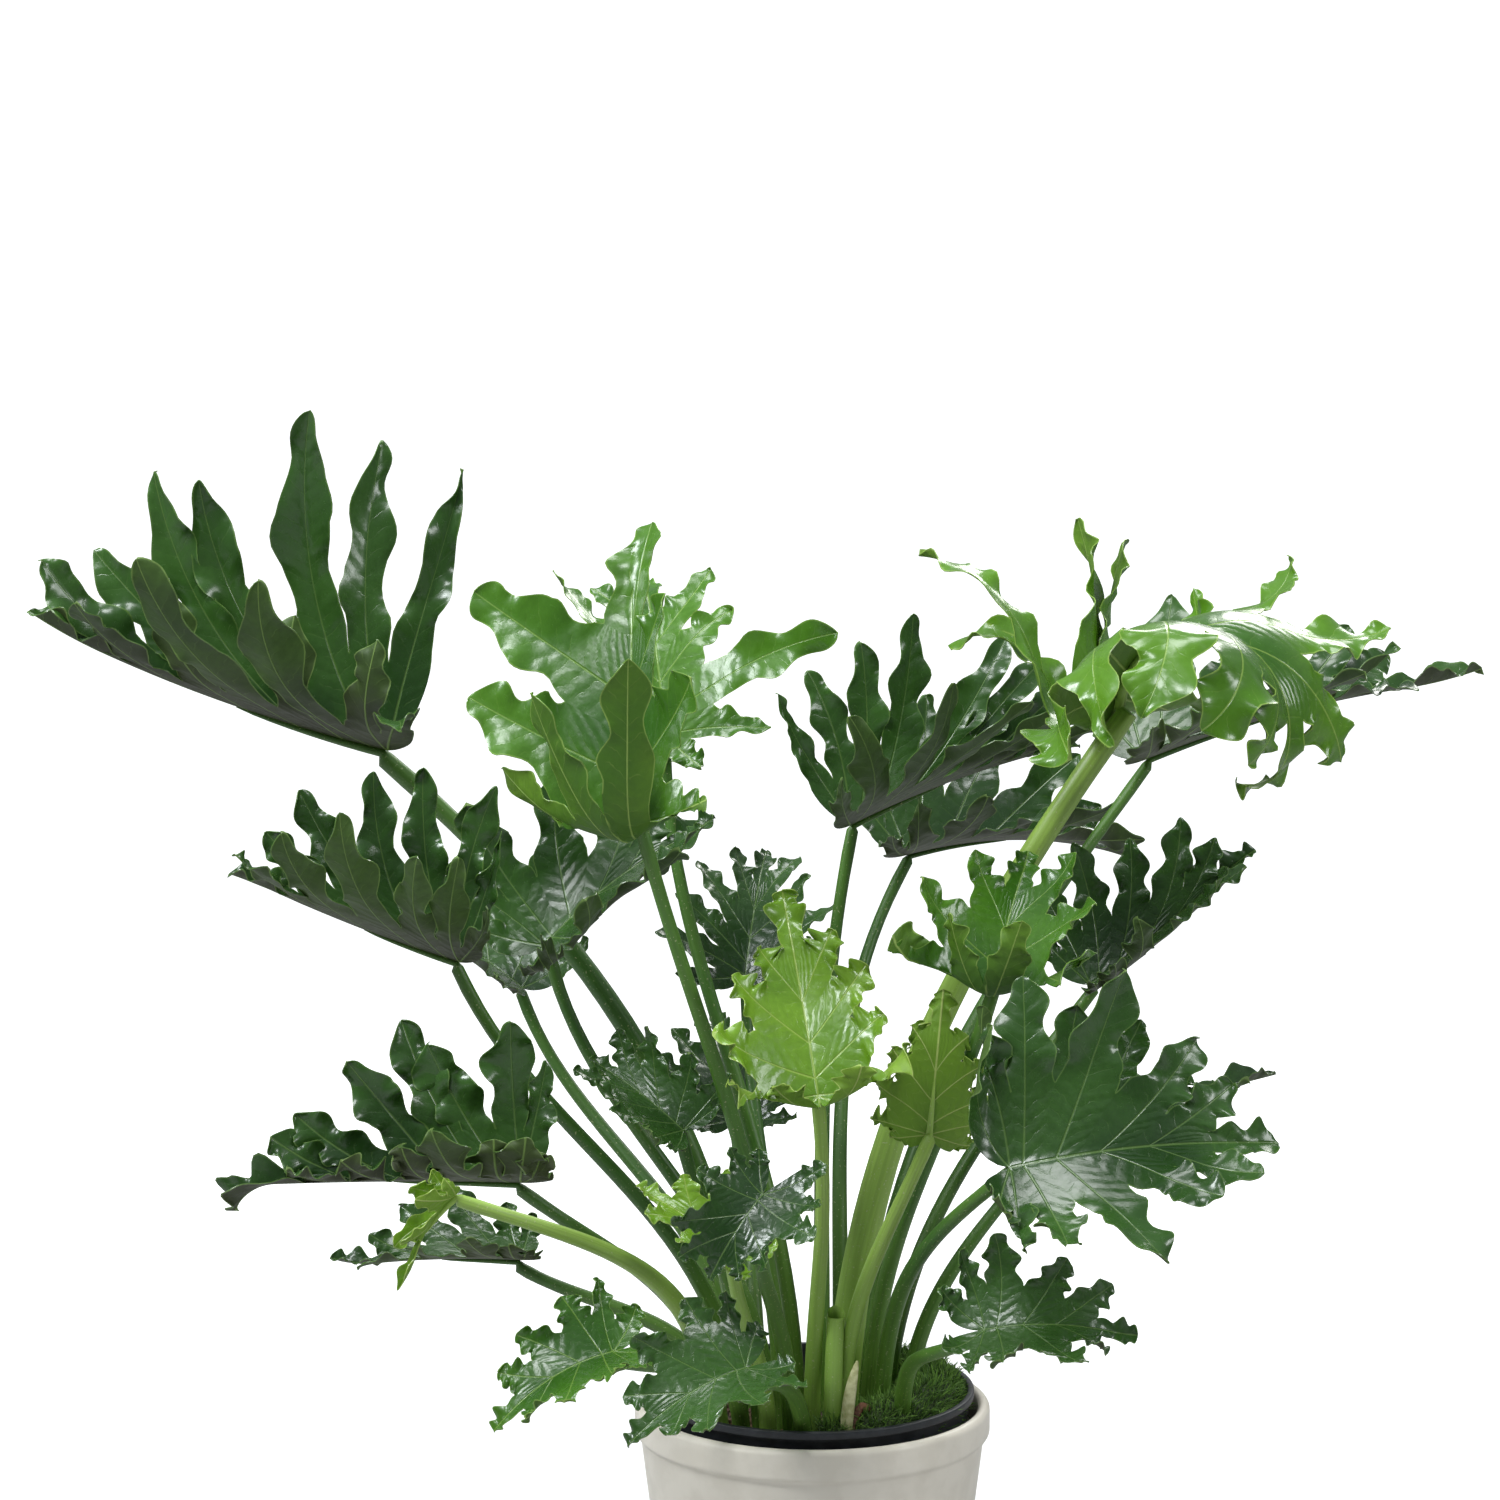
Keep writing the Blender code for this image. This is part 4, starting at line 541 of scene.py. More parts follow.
def blade_grids(leaf):
    """One grid of points for each lobe, its rows running out along the vein and its columns,
    from -1 at the left border by 0 on the vein to 1 at the right, across it.  Rows up to the
    sinus reach the border shared with the next lobe; beyond it each side's width eases from the
    sinus to the lobe's own width, times a lobed wave, and closes at the tip as a root of one
    less a power.  The free part bends about its own width and turns about its vein, and its
    margins wave and ripple along its normal and rise over the vein."""
    rng = np.random.default_rng(leaf["seed"])
    lobes = lobe_list(leaf, rng)
    cut = leaf["cut"]
    up = leaf_frame(leaf)[2]
    detail = np.random.default_rng([leaf["seed"], 5])
    middles, sinuses = [], []
    for a, b in zip(lobes[:-1], lobes[1:]):
        tip = a if a["side"] == 0 else b
        joined = a["side"] == 0 or b["side"] == 0
        middles.append(tip["start"] if joined else (a["start"] + b["start"]) / 2)
        sinuses.append((vein(a, cut) + vein(b, cut)) / 2)
    web = np.linspace(0, 1, WEB_ROWS + 1)
    free = free_shares()
    share = np.concatenate([web * cut, cut + (1 - cut) * free[1:]])
    outward = np.concatenate([np.zeros(WEB_ROWS + 1), free[1:]])
    few = 4 if leaf["lobes"] <= 4 else leaf["lobes"]
    grids = []
    for number, lobe in enumerate(lobes):
        own = lobe["own"]
        # Half its width: less on a blade of many lobes, and more on a longer lobe
        width = LOBE_HALF_WIDTH * leaf["slim"] * (5.5 / (few + 0.5)) ** 0.6
        width *= own.get("wide", 1) * (0.8 + 0.4 * lobe["reach"])
        phases = rng.uniform(0, 2 * pi, 2)
        beats = rng.uniform(1.6, 2.4, 2)
        spine = vein(lobe, share)
        right = vein_right(lobe, share)
        borders = []
        free_length = lobe["reach"] * (1 - cut) * leaf["length"]
        for side, phase in ((-1, phases[0]), (1, phases[1])):
            border = number - 1 if side < 0 else number
            if 0 <= border < len(lobes) - 1:
                middle, sinus = middles[border], sinuses[border]
                webbed = middle + (sinus - middle) * web[:, None]
            else:
                # The outer side of the first and last lobe, which has no neighbour there
                bulge = 1.1 * width * np.sin(web * pi / 2) ** 0.8
                webbed = spine[:WEB_ROWS + 1] + side * right[:WEB_ROWS + 1] * bulge[:, None]
                sinus = webbed[-1]
            offset = sinus - spine[WEB_ROWS]
            start = abs(offset @ right[WEB_ROWS])
            lag = offset - side * start * right[WEB_ROWS]
            ease = (1 - free) ** 3
            profile = start * ease + width * (1 - ease)
            profile = profile * np.clip(1 - free ** leaf["blunt"], 0, 1) ** TIP_ROUNDNESS
            lobing = LOBE_SWELL * np.sin(2 * pi * beats[0] * free + phase) * np.minimum(1, 4 * free)
            profile = profile * (1 + lobing) * (1 + teeth(detail, free, free_length))
            edge = spine[WEB_ROWS:] + side * right[WEB_ROWS:] * profile[:, None]
            edge = edge + lag * ease[:, None]
            borders.append(np.concatenate([webbed, edge[1:]]))
        left_edge, right_edge = borders
        t = COLUMNS[None, :, None]
        reach_left = spine[:, None] + (left_edge - spine)[:, None] * -t
        reach_right = spine[:, None] + (right_edge - spine)[:, None] * t
        flat = np.where(t < 0, reach_left, reach_right)
        placed = lay(leaf, flat)
        placed_spine = lay(leaf, spine)
        step = 0.001
        across = unit(lay(leaf, spine + step * right) - lay(leaf, spine - step * right))
        ahead_flat = np.stack([-right[:, 1], right[:, 0]], -1)
        ahead = unit(lay(leaf, spine + step * ahead_flat) - lay(leaf, spine - step * ahead_flat))
        curl = leaf["curl"] + rng.uniform(-CURL_PLAY, CURL_PLAY)
        if lobe["side"] != 0 and lobe["index"] <= 1 and leaf["base_curl"] is not None:
            curl = leaf["base_curl"] + rng.uniform(-BASE_CURL_PLAY, BASE_CURL_PLAY)
        curl = radians(own.get("curl", curl))
        twist = radians(own.get("twist", rng.uniform(-1, 1) * leaf["twist"]))
        halfway = np.concatenate([[0], (outward[1:] + outward[:-1]) / 2])
        steps = np.diff(placed_spine, axis=0)
        steps = np.einsum("kij,kj->ki", turning(across, curl * halfway)[1:], steps)
        bent = placed_spine[0] + np.concatenate([np.zeros((1, 3)), np.cumsum(steps, 0)])
        turns = turning(across, curl * outward) @ turning(ahead, twist * outward)
        from_spine = placed - placed_spine[:, None]
        points = bent[:, None] + np.einsum("kij,kmj->kmi", turns, from_spine)
        points[:WEB_ROWS + 1] = placed[:WEB_ROWS + 1]
        normal = np.einsum("kij,kj->ki", turns, unit(np.cross(across, ahead)))
        if normal[0] @ up < 0:
            normal = -normal
        height = leaf["wave"] * leaf["length"] * (1 + rng.uniform(-WAVE_PLAY, WAVE_PLAY))
        swell = np.minimum(1, 3 * outward) * (1 - 0.4 * outward)
        for side, phase in ((-1, phases[0]), (1, phases[1])):
            half = np.sign(COLUMNS) == side
            beat = np.sin(2 * pi * beats[1] * outward + phase)
            lift = height * (swell * beat)[:, None] * np.abs(COLUMNS[half]) ** 1.6
            ripple = ripples(detail, outward, height, COLUMNS[half])
            points[:, half] += lift[..., None] * normal[:, None]
            points[:, half] += ripple[..., None] * normal[:, None]
        gutter = GUTTER * leaf["length"] * np.linalg.norm(flat - spine[:, None], axis=-1) * swell[:, None]
        points += gutter[..., None] * normal[:, None]
        grids.append(dict(points=points, flat=flat))
    return grids


def sheet(grids):
    """Points, triangles and the same triangles' unmerged corners, of one open sheet from a
    blade's grids.  Points at the same place, to a hundredth of a millimetre, are made one, and
    triangles that closed up are left out."""
    points = np.concatenate([grid["points"].reshape(-1, 3) for grid in grids])
    triangles, first = [], 0
    for grid in grids:
        rows, columns, _ = grid["points"].shape
        index = np.arange(rows * columns).reshape(rows, columns) + first
        a, b, c, d = index[:-1, :-1], index[:-1, 1:], index[1:, 1:], index[1:, :-1]
        triangles += [np.stack([a, b, c], -1).reshape(-1, 3), np.stack([a, c, d], -1).reshape(-1, 3)]
        first += rows * columns
    corners = np.concatenate(triangles)
    places = np.round(points * 1e5).astype(np.int64)
    _, kept, place = np.unique(places, axis=0, return_index=True, return_inverse=True)
    triangles = place.reshape(-1)[corners]
    a, b, c = triangles.T
    sound = (a != b) & (b != c) & (a != c)
    return points[kept], triangles[sound], corners[sound]


def blade_maps(leaf, grids):
    """For each grid point: distance across from the lobe's vein, distance along it, distance
    from the blade's edge, and distance from the midrib.  In metres on a blade 0.3 m long, and
    on another as if it were nearer that size, by the power 0.4 of its length's share."""
    length = 0.3 * (leaf["length"] / 0.3) ** 0.4
    maps = []
    for grid in grids:
        flat = grid["flat"]
        middle = flat[:, len(COLUMNS) // 2]
        reach = np.linalg.norm(flat - middle[:, None], axis=-1)
        across = reach * np.sign(COLUMNS)
        run = np.concatenate([[0], np.cumsum(np.linalg.norm(np.diff(middle, axis=0), axis=-1))])
        along = np.repeat(run[:, None], len(COLUMNS), axis=1)
        half = np.maximum(reach[:, :1], reach[:, -1:])
        side_half = np.where(COLUMNS < 0, reach[:, :1], reach[:, -1:])
        webbed = np.maximum(run[WEB_ROWS] - run, 0)[:, None]
        edge = (side_half - reach) + webbed
        edge = np.minimum(edge, (run[-1] - run)[:, None] + half * 0.2)
        rib = np.abs(flat[..., 0])
        maps.append(np.stack([across, along, edge, rib], -1).reshape(-1, 4) * length)
    return np.concatenate(maps)


def vertex_normals(points, triangles):
    """Unit normals of points: the sum of the cross products of their triangles' edges."""
    cross = np.cross(points[triangles[:, 1]] - points[triangles[:, 0]],
                     points[triangles[:, 2]] - points[triangles[:, 0]])
    total = np.zeros_like(points)
    for corner in range(3):
        np.add.at(total, triangles[:, corner], cross)
    return unit(total + 1e-15)


def thicken(points, triangles, corners, thickness):
    """A closed solid from an open sheet: the sheet moved half the thickness up and down its
    normals, joined by a strip of triangles round its border.  Also each triangle's unmerged
    corners and whether it faces down."""
    normals = vertex_normals(points, triangles)
    edges = np.concatenate([triangles[:, [0, 1]], triangles[:, [1, 2]], triangles[:, [2, 0]]])
    sources = np.concatenate([corners[:, [0, 1]], corners[:, [1, 2]], corners[:, [2, 0]]])
    size = len(points)
    code = edges[:, 0] * size + edges[:, 1]
    border = ~np.isin(code, edges[:, 1] * size + edges[:, 0])
    a, b = edges[border].T
    sa, sb = sources[border].T
    rim = np.concatenate([np.stack([a, a + size, b + size], -1), np.stack([a, b + size, b], -1)])
    rim_source = np.concatenate([np.stack([sa, sa, sb], -1), np.stack([sa, sb, sb], -1)])
    both = np.concatenate([points + normals * thickness / 2, points - normals * thickness / 2])
    faces = np.concatenate([triangles, triangles[:, ::-1] + size, rim])
    source = np.concatenate([corners, corners[:, ::-1], rim_source])
    down = np.concatenate([np.zeros(len(triangles), int), np.ones(len(triangles), int),
                           np.zeros(len(rim), int)])
    return both, faces, source, down


def mesh_piece(name, points, faces, looks, uv=None, look_index=None, sharp=50):
    """A smooth-shaded mesh object on its own, with optional corner maps."""
    data = bpy.data.meshes.new(name)
    count, corners = faces.shape
    data.vertices.add(len(points))
    data.vertices.foreach_set("co", np.asarray(points, np.float32).ravel())
    data.loops.add(count * corners)
    data.loops.foreach_set("vertex_index", np.asarray(faces, np.int32).ravel())
    data.polygons.add(count)
    data.polygons.foreach_set("loop_start", np.arange(count, dtype=np.int32) * corners)
    if look_index is not None:
        data.polygons.foreach_set("material_index", np.asarray(look_index, np.int32))
    data.update(calc_edges=True)
    for map_name, values in (uv or {}).items():
        layer = data.uv_layers.new(name=map_name)
        layer.uv.foreach_set("vector", np.asarray(values, np.float32).ravel())
    data.polygons.foreach_set("use_smooth", np.ones(count, bool))
    data.set_sharp_from_angle(angle=radians(sharp))
    for look in looks:
        data.materials.append(look)
    obj = bpy.data.objects.new(name, data)
    bpy.context.scene.collection.objects.link(obj)
    return obj


def carried(path):
    """Two unit directions across a path at each of its points, turned as little as possible
    from point to point."""
    ahead = unit(np.gradient(path, axis=0))
    first = np.cross(ahead[0], [0.31, 0.87, 0.12])
    side = unit(first)
    sides = [side]
    for now in ahead[1:]:
        side = side - now * (side @ now)
        side = side / np.linalg.norm(side)
        sides.append(side)
    sides = np.array(sides)
    return sides, np.cross(ahead, sides)


def band(rings):
    """Two triangles for each cell of a closed band, from its rings of point numbers.  They face
    outward where the rings run counterclockwise as seen from the last one."""
    ahead = np.roll(rings, -1, axis=1)
    a, b, c, d = (part.ravel() for part in (rings[:-1], ahead[:-1], ahead[1:], rings[1:]))
    return np.concatenate([np.stack([a, b, c], -1), np.stack([a, c, d], -1)])


def fan(middle, ring):
    """Triangles from one point number to each step round a closed ring of them."""
    return np.stack([np.full(len(ring), middle), ring, np.roll(ring, -1)], -1)


def tube(path, radii, count, flatten=1.0):
    """Rings of points round a path, and the tube's faces with both ends closed: a circle of
    the path's own radius in the two directions across it, its second direction scaled by
    flatten.  Also each point's share of the way round and its distance along."""
    side, lift = carried(path)
    turn = np.linspace(0, 2 * pi, count, endpoint=False)
    radii = np.asarray(radii)
    if radii.ndim == 1:
        radii = np.repeat(radii[:, None], count, axis=1)
    points = (path[:, None] + radii[..., None] * (np.cos(turn)[None, :, None] * side[:, None]
              + flatten * np.sin(turn)[None, :, None] * lift[:, None]))
    rings = len(path)
    index = np.arange(rings * count).reshape(rings, count)
    run = np.concatenate([[0], np.cumsum(np.linalg.norm(np.diff(path, axis=0), axis=1))])
    start, end = rings * count, rings * count + 1
    faces = np.concatenate([band(index), fan(start, index[0])[:, ::-1], fan(end, index[-1])])
    along = np.concatenate([np.repeat(run, count), [0, run[-1]]])
    around = np.concatenate([np.tile(turn / (2 * pi), rings), [0, 0]])
    points = np.concatenate([points.reshape(-1, 3), path[:1], path[-1:]])
    return points, faces, np.stack([around, along], -1)


def stalk_curve(leaf):
    """A stalk's path and radii: straight up in its hole, then the CAD's cubic Bezier curve to
    the joint, thinning evenly."""
    x, y = leaf["foot"]
    joint, _, up, _ = leaf_frame(leaf)
    start = np.array([x, y, SOIL_TOP + STRAIGHT_RISE])
    floor = np.array([x, y, SOIL_TOP - HOLE_DEPTH + GAP])
    arrive = unit(np.array(leaf["arrive"], float))
    thick, thin = leaf["thick"]
    edge = thin * np.sqrt(1 - (arrive @ up) ** 2)
    end = joint - (JOINT_ROOM + edge) * up
    span = end - start
    length = np.linalg.norm(span)
    leave = unit(np.array([span[0] * LEAVE_LEAN, span[1] * LEAVE_LEAN, abs(span[2]) + LEAVE_RISE]))
    handle_a = start + LEAVE_HANDLE * length * leave
    handle_b = end - ARRIVE_HANDLE * length * arrive
    t = np.linspace(0, 1, STALK_RINGS)[:, None]
    curve = ((1 - t) ** 3 * start + 3 * (1 - t) ** 2 * t * handle_a
             + 3 * (1 - t) * t ** 2 * handle_b + t ** 3 * end)
    below = np.linspace(floor, start, 4)[:-1]
    radii = np.concatenate([np.full(3, thick), thick + (thin - thick) * t[:, 0]])
    return np.concatenate([below, curve]), radii


def ridge_under(leaf):
    """Path and radii of the midrib's ridge: under the blade's midrib by most of its radius,
    from the joint to two fifths of the blade, thinning as the square root of what is left."""
    share = np.linspace(RIDGE_FROM, RIDGE_TO, RIDGE_RINGS)
    flat = np.stack([np.zeros_like(share), share], -1)
    middle = lay(leaf, flat)
    step = 0.002
    beside = lay(leaf, flat + [step, 0]) - lay(leaf, flat - [step, 0])
    ahead = lay(leaf, flat + [0, step]) - lay(leaf, flat - [0, step])
    below = -unit(np.cross(unit(beside), unit(ahead)))
    radii = leaf["thick"][1] * RIDGE_THICKNESS * np.sqrt(1.02 - np.linspace(0, 1, RIDGE_RINGS))
    return middle + below * (radii * RIDGE_HANG)[:, None], radii


def stalk_piece(name, leaf, look):
    """A stalk with a slight swelling at its knee, and the midrib's ridge that it runs on as."""
    path, radii = stalk_curve(leaf)
    ridge, ridge_radii = ridge_under(leaf)
    share = np.linspace(0, 1, len(path))
    radii = radii * (1 + KNEE_SWELL * np.exp(-((share - KNEE_PLACE) / KNEE_LENGTH) ** 2))
    radii = np.minimum(radii, leaf["thick"][0])
    points, faces, maps = tube(np.concatenate([path, ridge]), np.concatenate([radii, ridge_radii]),
                               STALK_SIDES, 0.92)
    uv = {"stalk": maps[faces.ravel()]}
    return mesh_piece(f"fine_stalk_{name}", points, faces, [look], uv, sharp=70)


def blade_piece(name, leaf, looks):
    """A leaf's lobed blade with its veins pressed in and its margins waved."""
    grids = blade_grids(leaf)
    maps = blade_maps(leaf, grids)
    points, triangles, corners = sheet(grids)
    points, faces, source, down = thicken(points, triangles, corners, BLADE_THICKNESS)
    values = maps[source.ravel()]
    uv = {"vein": values[:, :2], "edge": values[:, 2:]}
    return mesh_piece(f"fine_blade_{name}", points, faces, looks, uv, down)


def turned_points(profile, steps):
    """Points and triangles of a closed solid turned about the upright axis: each profile
    point's radius times the cosine and sine of evenly spaced turns.  The profile runs down its
    outer side, and both its ends are on the axis."""
    profile = np.asarray(profile, float)
    turn = np.linspace(0, 2 * pi, steps, endpoint=False)
    ring = profile[1:-1]
    points = np.stack([ring[:, None, 0] * np.cos(turn), ring[:, None, 0] * np.sin(turn),
                       np.repeat(ring[:, None, 1], steps, axis=1)], -1)
    count = len(ring)
    index = np.arange(count * steps).reshape(count, steps)
    top, bottom = count * steps, count * steps + 1
    faces = np.concatenate([band(index)[:, ::-1], fan(top, index[0]), fan(bottom, index[-1])[:, ::-1]])
    ends = [[0, 0, profile[0, 1]], [0, 0, profile[-1, 1]]]
    return np.concatenate([points.reshape(-1, 3), ends]), faces


def rounded(profile, radius, steps=5):
    """A profile with each inner corner replaced by a small arc: a quadratic Bezier curve
    between the two points that lie the radius, or two fifths of the side, from the corner."""
    profile = np.asarray(profile, float)
    t = np.linspace(0, 1, steps)[:, None]
    result = [profile[:1]]
    for before, corner, after in zip(profile[:-2], profile[1:-1], profile[2:]):
        back, ahead = before - corner, after - corner
        reach_a = min(radius, 0.4 * np.linalg.norm(back)) / np.linalg.norm(back)
        reach_b = min(radius, 0.4 * np.linalg.norm(ahead)) / np.linalg.norm(ahead)
        a, b = corner + back * reach_a, corner + ahead * reach_b
        result.append((1 - t) ** 2 * a + 2 * (1 - t) * t * corner + t ** 2 * b)
    result.append(profile[-1:])
    return np.concatenate(result)


def pot_piece(look):
    """The pot's wall, with its rim's edges rounded."""
    shoulder = POT_HEIGHT - RIM_DEPTH
    inner = POT_RADIUS - POT_WALL
    inner_foot = POT_FOOT_RADIUS - POT_WALL
    edge, small, corner = POT_EDGE, POT_SMALL_EDGE, POT_FLOOR_CORNER
    profile = [(0, POT_FLOOR), (inner_foot - corner, POT_FLOOR), (inner_foot, POT_FLOOR + corner),
               (inner - RIM_OUT, shoulder), (inner - small, POT_HEIGHT - edge), (inner, POT_HEIGHT),
               (POT_RADIUS - edge, POT_HEIGHT), (POT_RADIUS, POT_HEIGHT - edge),
               (POT_RADIUS, shoulder + RIM_STEP), (POT_RADIUS - RIM_OUT, shoulder),
               (POT_FOOT_RADIUS, edge), (POT_FOOT_RADIUS - small, 0), (0, 0)]
    points, faces = turned_points(rounded(profile, 0.003), 144)
    return mesh_piece("fine_pot", points, faces, [look], sharp=70)


def liner_piece(look):
    """The thin liner and its turned-out lip."""
    base = POT_FLOOR + GAP
    inner_foot = LINER_FOOT_RADIUS - LINER_WALL
    inner_top = LINER_RADIUS - LINER_WALL
    lip = LINER_TOP - LIP_DEPTH
    profile = [(0, base + LINER_WALL), (inner_foot, base + LINER_WALL), (inner_top, lip),
               (inner_top, LINER_TOP), (LINER_RADIUS + LIP_OUT, LINER_TOP),
               (LINER_RADIUS + LIP_OUT, lip), (LINER_RADIUS, lip), (LINER_FOOT_RADIUS, base), (0, base)]
    points, faces = turned_points(rounded(profile, 0.0012, 4), 128)
    return mesh_piece("fine_liner", points, faces, [look], sharp=60)


def waves(points, scale, seed):
    """A smooth random height, mostly between -1 and 1: 1.6 times the mean of sine waves of
    seeded directions and phases over the points' places times the scale."""
    rng = np.random.default_rng(seed)
    terms = 7
    total = np.zeros(points.shape[:-1])
    for _ in range(terms):
        direction = unit(rng.normal(size=points.shape[-1])) * scale * rng.uniform(0.6, 1.6)
        total += np.sin(points @ direction + rng.uniform(0, 2 * pi))
    return total / terms * 1.6


def soil_piece(look):
    """Soil in the liner: turned, then its top roughened by waves of three sizes."""
    base = POT_FLOOR + 2 * GAP + LINER_WALL
    slope = (LINER_RADIUS - LINER_FOOT_RADIUS) / (LINER_TOP - LIP_DEPTH - POT_FLOOR - GAP)
    foot = LINER_FOOT_RADIUS - LINER_WALL - 2 * GAP
    edge = SOIL_TOP - 0.006
    top = foot + slope * (edge - base)
    across = np.linspace(0, top - 0.003, 46)
    profile = [(r, SOIL_TOP - 0.002) for r in across] + [(top, edge), (foot, base), (0, base)]
    points, faces = turned_points(profile, 150)
    upper = points[:, 2] > edge + 0.001
    flat = points[upper, :2]
    rough = 0.0016 * waves(flat, 90, 3) + 0.0011 * waves(flat, 300, 4) + 0.0007 * waves(flat, 900, 5)
    points[upper, 2] += rough
    return mesh_piece("fine_soil", points, faces, [look], sharp=80)


def bark_piece(look):
    """Chips of bark and old stalk lying on the soil: flattened six-sided lumps with seeded
    places, turns and sizes."""
    rng = np.random.default_rng(17)
    count = BARK_CHIPS
    turn = rng.uniform(0, 2 * pi, count)
    farthest = 0.146
    radius = farthest * np.sqrt(rng.uniform(0.02, 1, count))
    middle = np.stack([radius * np.cos(turn), radius * np.sin(turn),
                       SOIL_TOP + rng.uniform(0.0005, 0.003, count)], -1)
    spin = rng.uniform(0, 2 * pi, count)
    size = rng.uniform(0.0025, 0.0075, count)
    sides = 6
    ring = np.linspace(0, 2 * pi, sides, endpoint=False)
    ragged = rng.uniform(0.7, 1.2, (count, sides))
    x = size[:, None] * ragged * np.cos(ring)
    y = size[:, None] * ragged * np.sin(ring) * rng.uniform(0.3, 0.8, (count, 1))
    tilt = rng.uniform(-0.4, 0.4, (count, 1))
    side = np.stack([x * np.cos(spin)[:, None] - y * np.sin(spin)[:, None],
                     x * np.sin(spin)[:, None] + y * np.cos(spin)[:, None], x * tilt], -1)
    thick = (size * 0.28)[:, None, None] * np.array([0, 0, 1])
    rings = np.concatenate([side * 0.85 + thick, side, side * 0.8 - thick], 1)
    caps = np.stack([thick[:, 0] * 1.2, -thick[:, 0] * 1.2], 1)
    points = np.concatenate([rings, caps], 1) + middle[:, None]
    index = np.arange(3 * sides).reshape(3, sides)
    top, bottom, size_of_one = 3 * sides, 3 * sides + 1, 3 * sides + 2
    one = np.concatenate([band(index)[:, ::-1], fan(top, index[0]), fan(bottom, index[2])[:, ::-1]])
    faces = (one[None] + (np.arange(count) * size_of_one)[:, None, None]).reshape(-1, 3)
    return mesh_piece("bark_chips", points.reshape(-1, 3), faces, [look], sharp=35)


def moss_outline(sections, around):
    """The moss mound's points: half an ellipse for a section, tapered at both ends as the
    square root of a sine and swelled by seeded amounts that run evenly into one another."""
    rng = np.random.default_rng(41)
    coarse = 19
    swell = 1 + 0.14 * rng.uniform(-1, 1, coarse)
    place = np.linspace(0, 1, sections)
    swell = np.interp(place, np.linspace(0, 1, coarse), swell)
    turns = np.radians(MOSS_FROM + (MOSS_TO - MOSS_FROM) * place)
    middle = (MOSS_INNER + MOSS_OUTER) / 2
    half = (MOSS_OUTER - MOSS_INNER) / 2
    arc = np.linspace(0, pi, around)
    taper = np.sqrt(np.sin((0.06 + 0.88 * place) * pi))
    radius = middle + half * taper[:, None] * np.cos(arc)
    height = SOIL_TOP + GAP + MOSS_HEIGHT * (taper * swell)[:, None] * np.sin(arc)
    return np.stack([radius * np.cos(turns)[:, None], radius * np.sin(turns)[:, None], height], -1)


def moss_piece(looks):
    """Moss: a lumpy mound thick with small curved sprigs, each a three-sided strand that
    leans outward from the mound and bends over toward its tip."""
    sections, around = 90, 26
    points = moss_outline(sections, around)
    normal = np.cross(np.gradient(points, axis=0), np.gradient(points, axis=1))
    normal = unit(normal + 1e-12)
    outward = np.where(normal[..., 2:] < 0, -normal, normal)
    points = points + outward * (0.002 * waves(points, 260, 8))[..., None]
    points[..., 2] = np.maximum(points[..., 2], SOIL_TOP)
    index = np.arange(sections * around).reshape(sections, around)
    mound = [band(index)[:, ::-1]]
    for ring, way in ((index[0], 1), (index[-1], -1)):
        cap = np.stack([np.full(around - 2, ring[0]), ring[1:-1], ring[2:]], -1)
        mound.append(cap[:, ::way])
    mound = np.concatenate(mound)

    rng = np.random.default_rng(43)
    count = MOSS_SPRIGS
    row = rng.integers(1, sections - 1, count)
    column = rng.integers(1, around - 1, count)
    root = points[row, column] + rng.normal(0, 0.0012, (count, 3))
    lean = unit(outward[row, column] + rng.normal(0, 0.45, (count, 3)) + [0, 0, 0.35])
    bend = unit(rng.normal(0, 1, (count, 3)))
    length = rng.uniform(0.006, 0.016, count)
    t = np.array([0, 0.4, 0.75, 1.0])
    sides = 3
    spine = (root[:, None] + lean[:, None] * (length[:, None] * t)[..., None]
             + bend[:, None] * (length[:, None] * 0.35 * t ** 2)[..., None])
    across = unit(np.cross(lean, bend))
    other = np.cross(lean, across)
    thickest = 0.00055
    radius = thickest * np.array([0.8, 1.0, 0.7, 0.05])
    turn = np.linspace(0, 2 * pi, sides, endpoint=False)
    ring = (np.cos(turn)[None, None, :, None] * across[:, None, None]
            + np.sin(turn)[None, None, :, None] * other[:, None, None])
    strand = spine[:, :, None] + radius[None, :, None, None] * ring
    index = np.arange(len(t) * sides).reshape(len(t), sides)
    one = np.concatenate([band(index), index[:1, ::-1], index[-1:]])
    start = len(points.reshape(-1, 3))
    sprigs = (one[None] + start + (np.arange(count) * index.size)[:, None, None]).reshape(-1, 3)
    every = np.concatenate([points.reshape(-1, 3), strand.reshape(-1, 3)])
    faces = np.concatenate([mound, sprigs])
    look_index = np.concatenate([np.zeros(len(mound), int), np.ones(len(sprigs), int)])
    tip = np.concatenate([np.zeros(start), np.tile(np.repeat(t, sides), count)])
    tone = np.concatenate([np.zeros(start), np.repeat(rng.uniform(0, 1, count), index.size)])
    uv = {"sprig": np.stack([tone, tip], -1)[faces.ravel()]}
    return mesh_piece("fine_moss", every, faces, looks, uv, look_index, sharp=80)


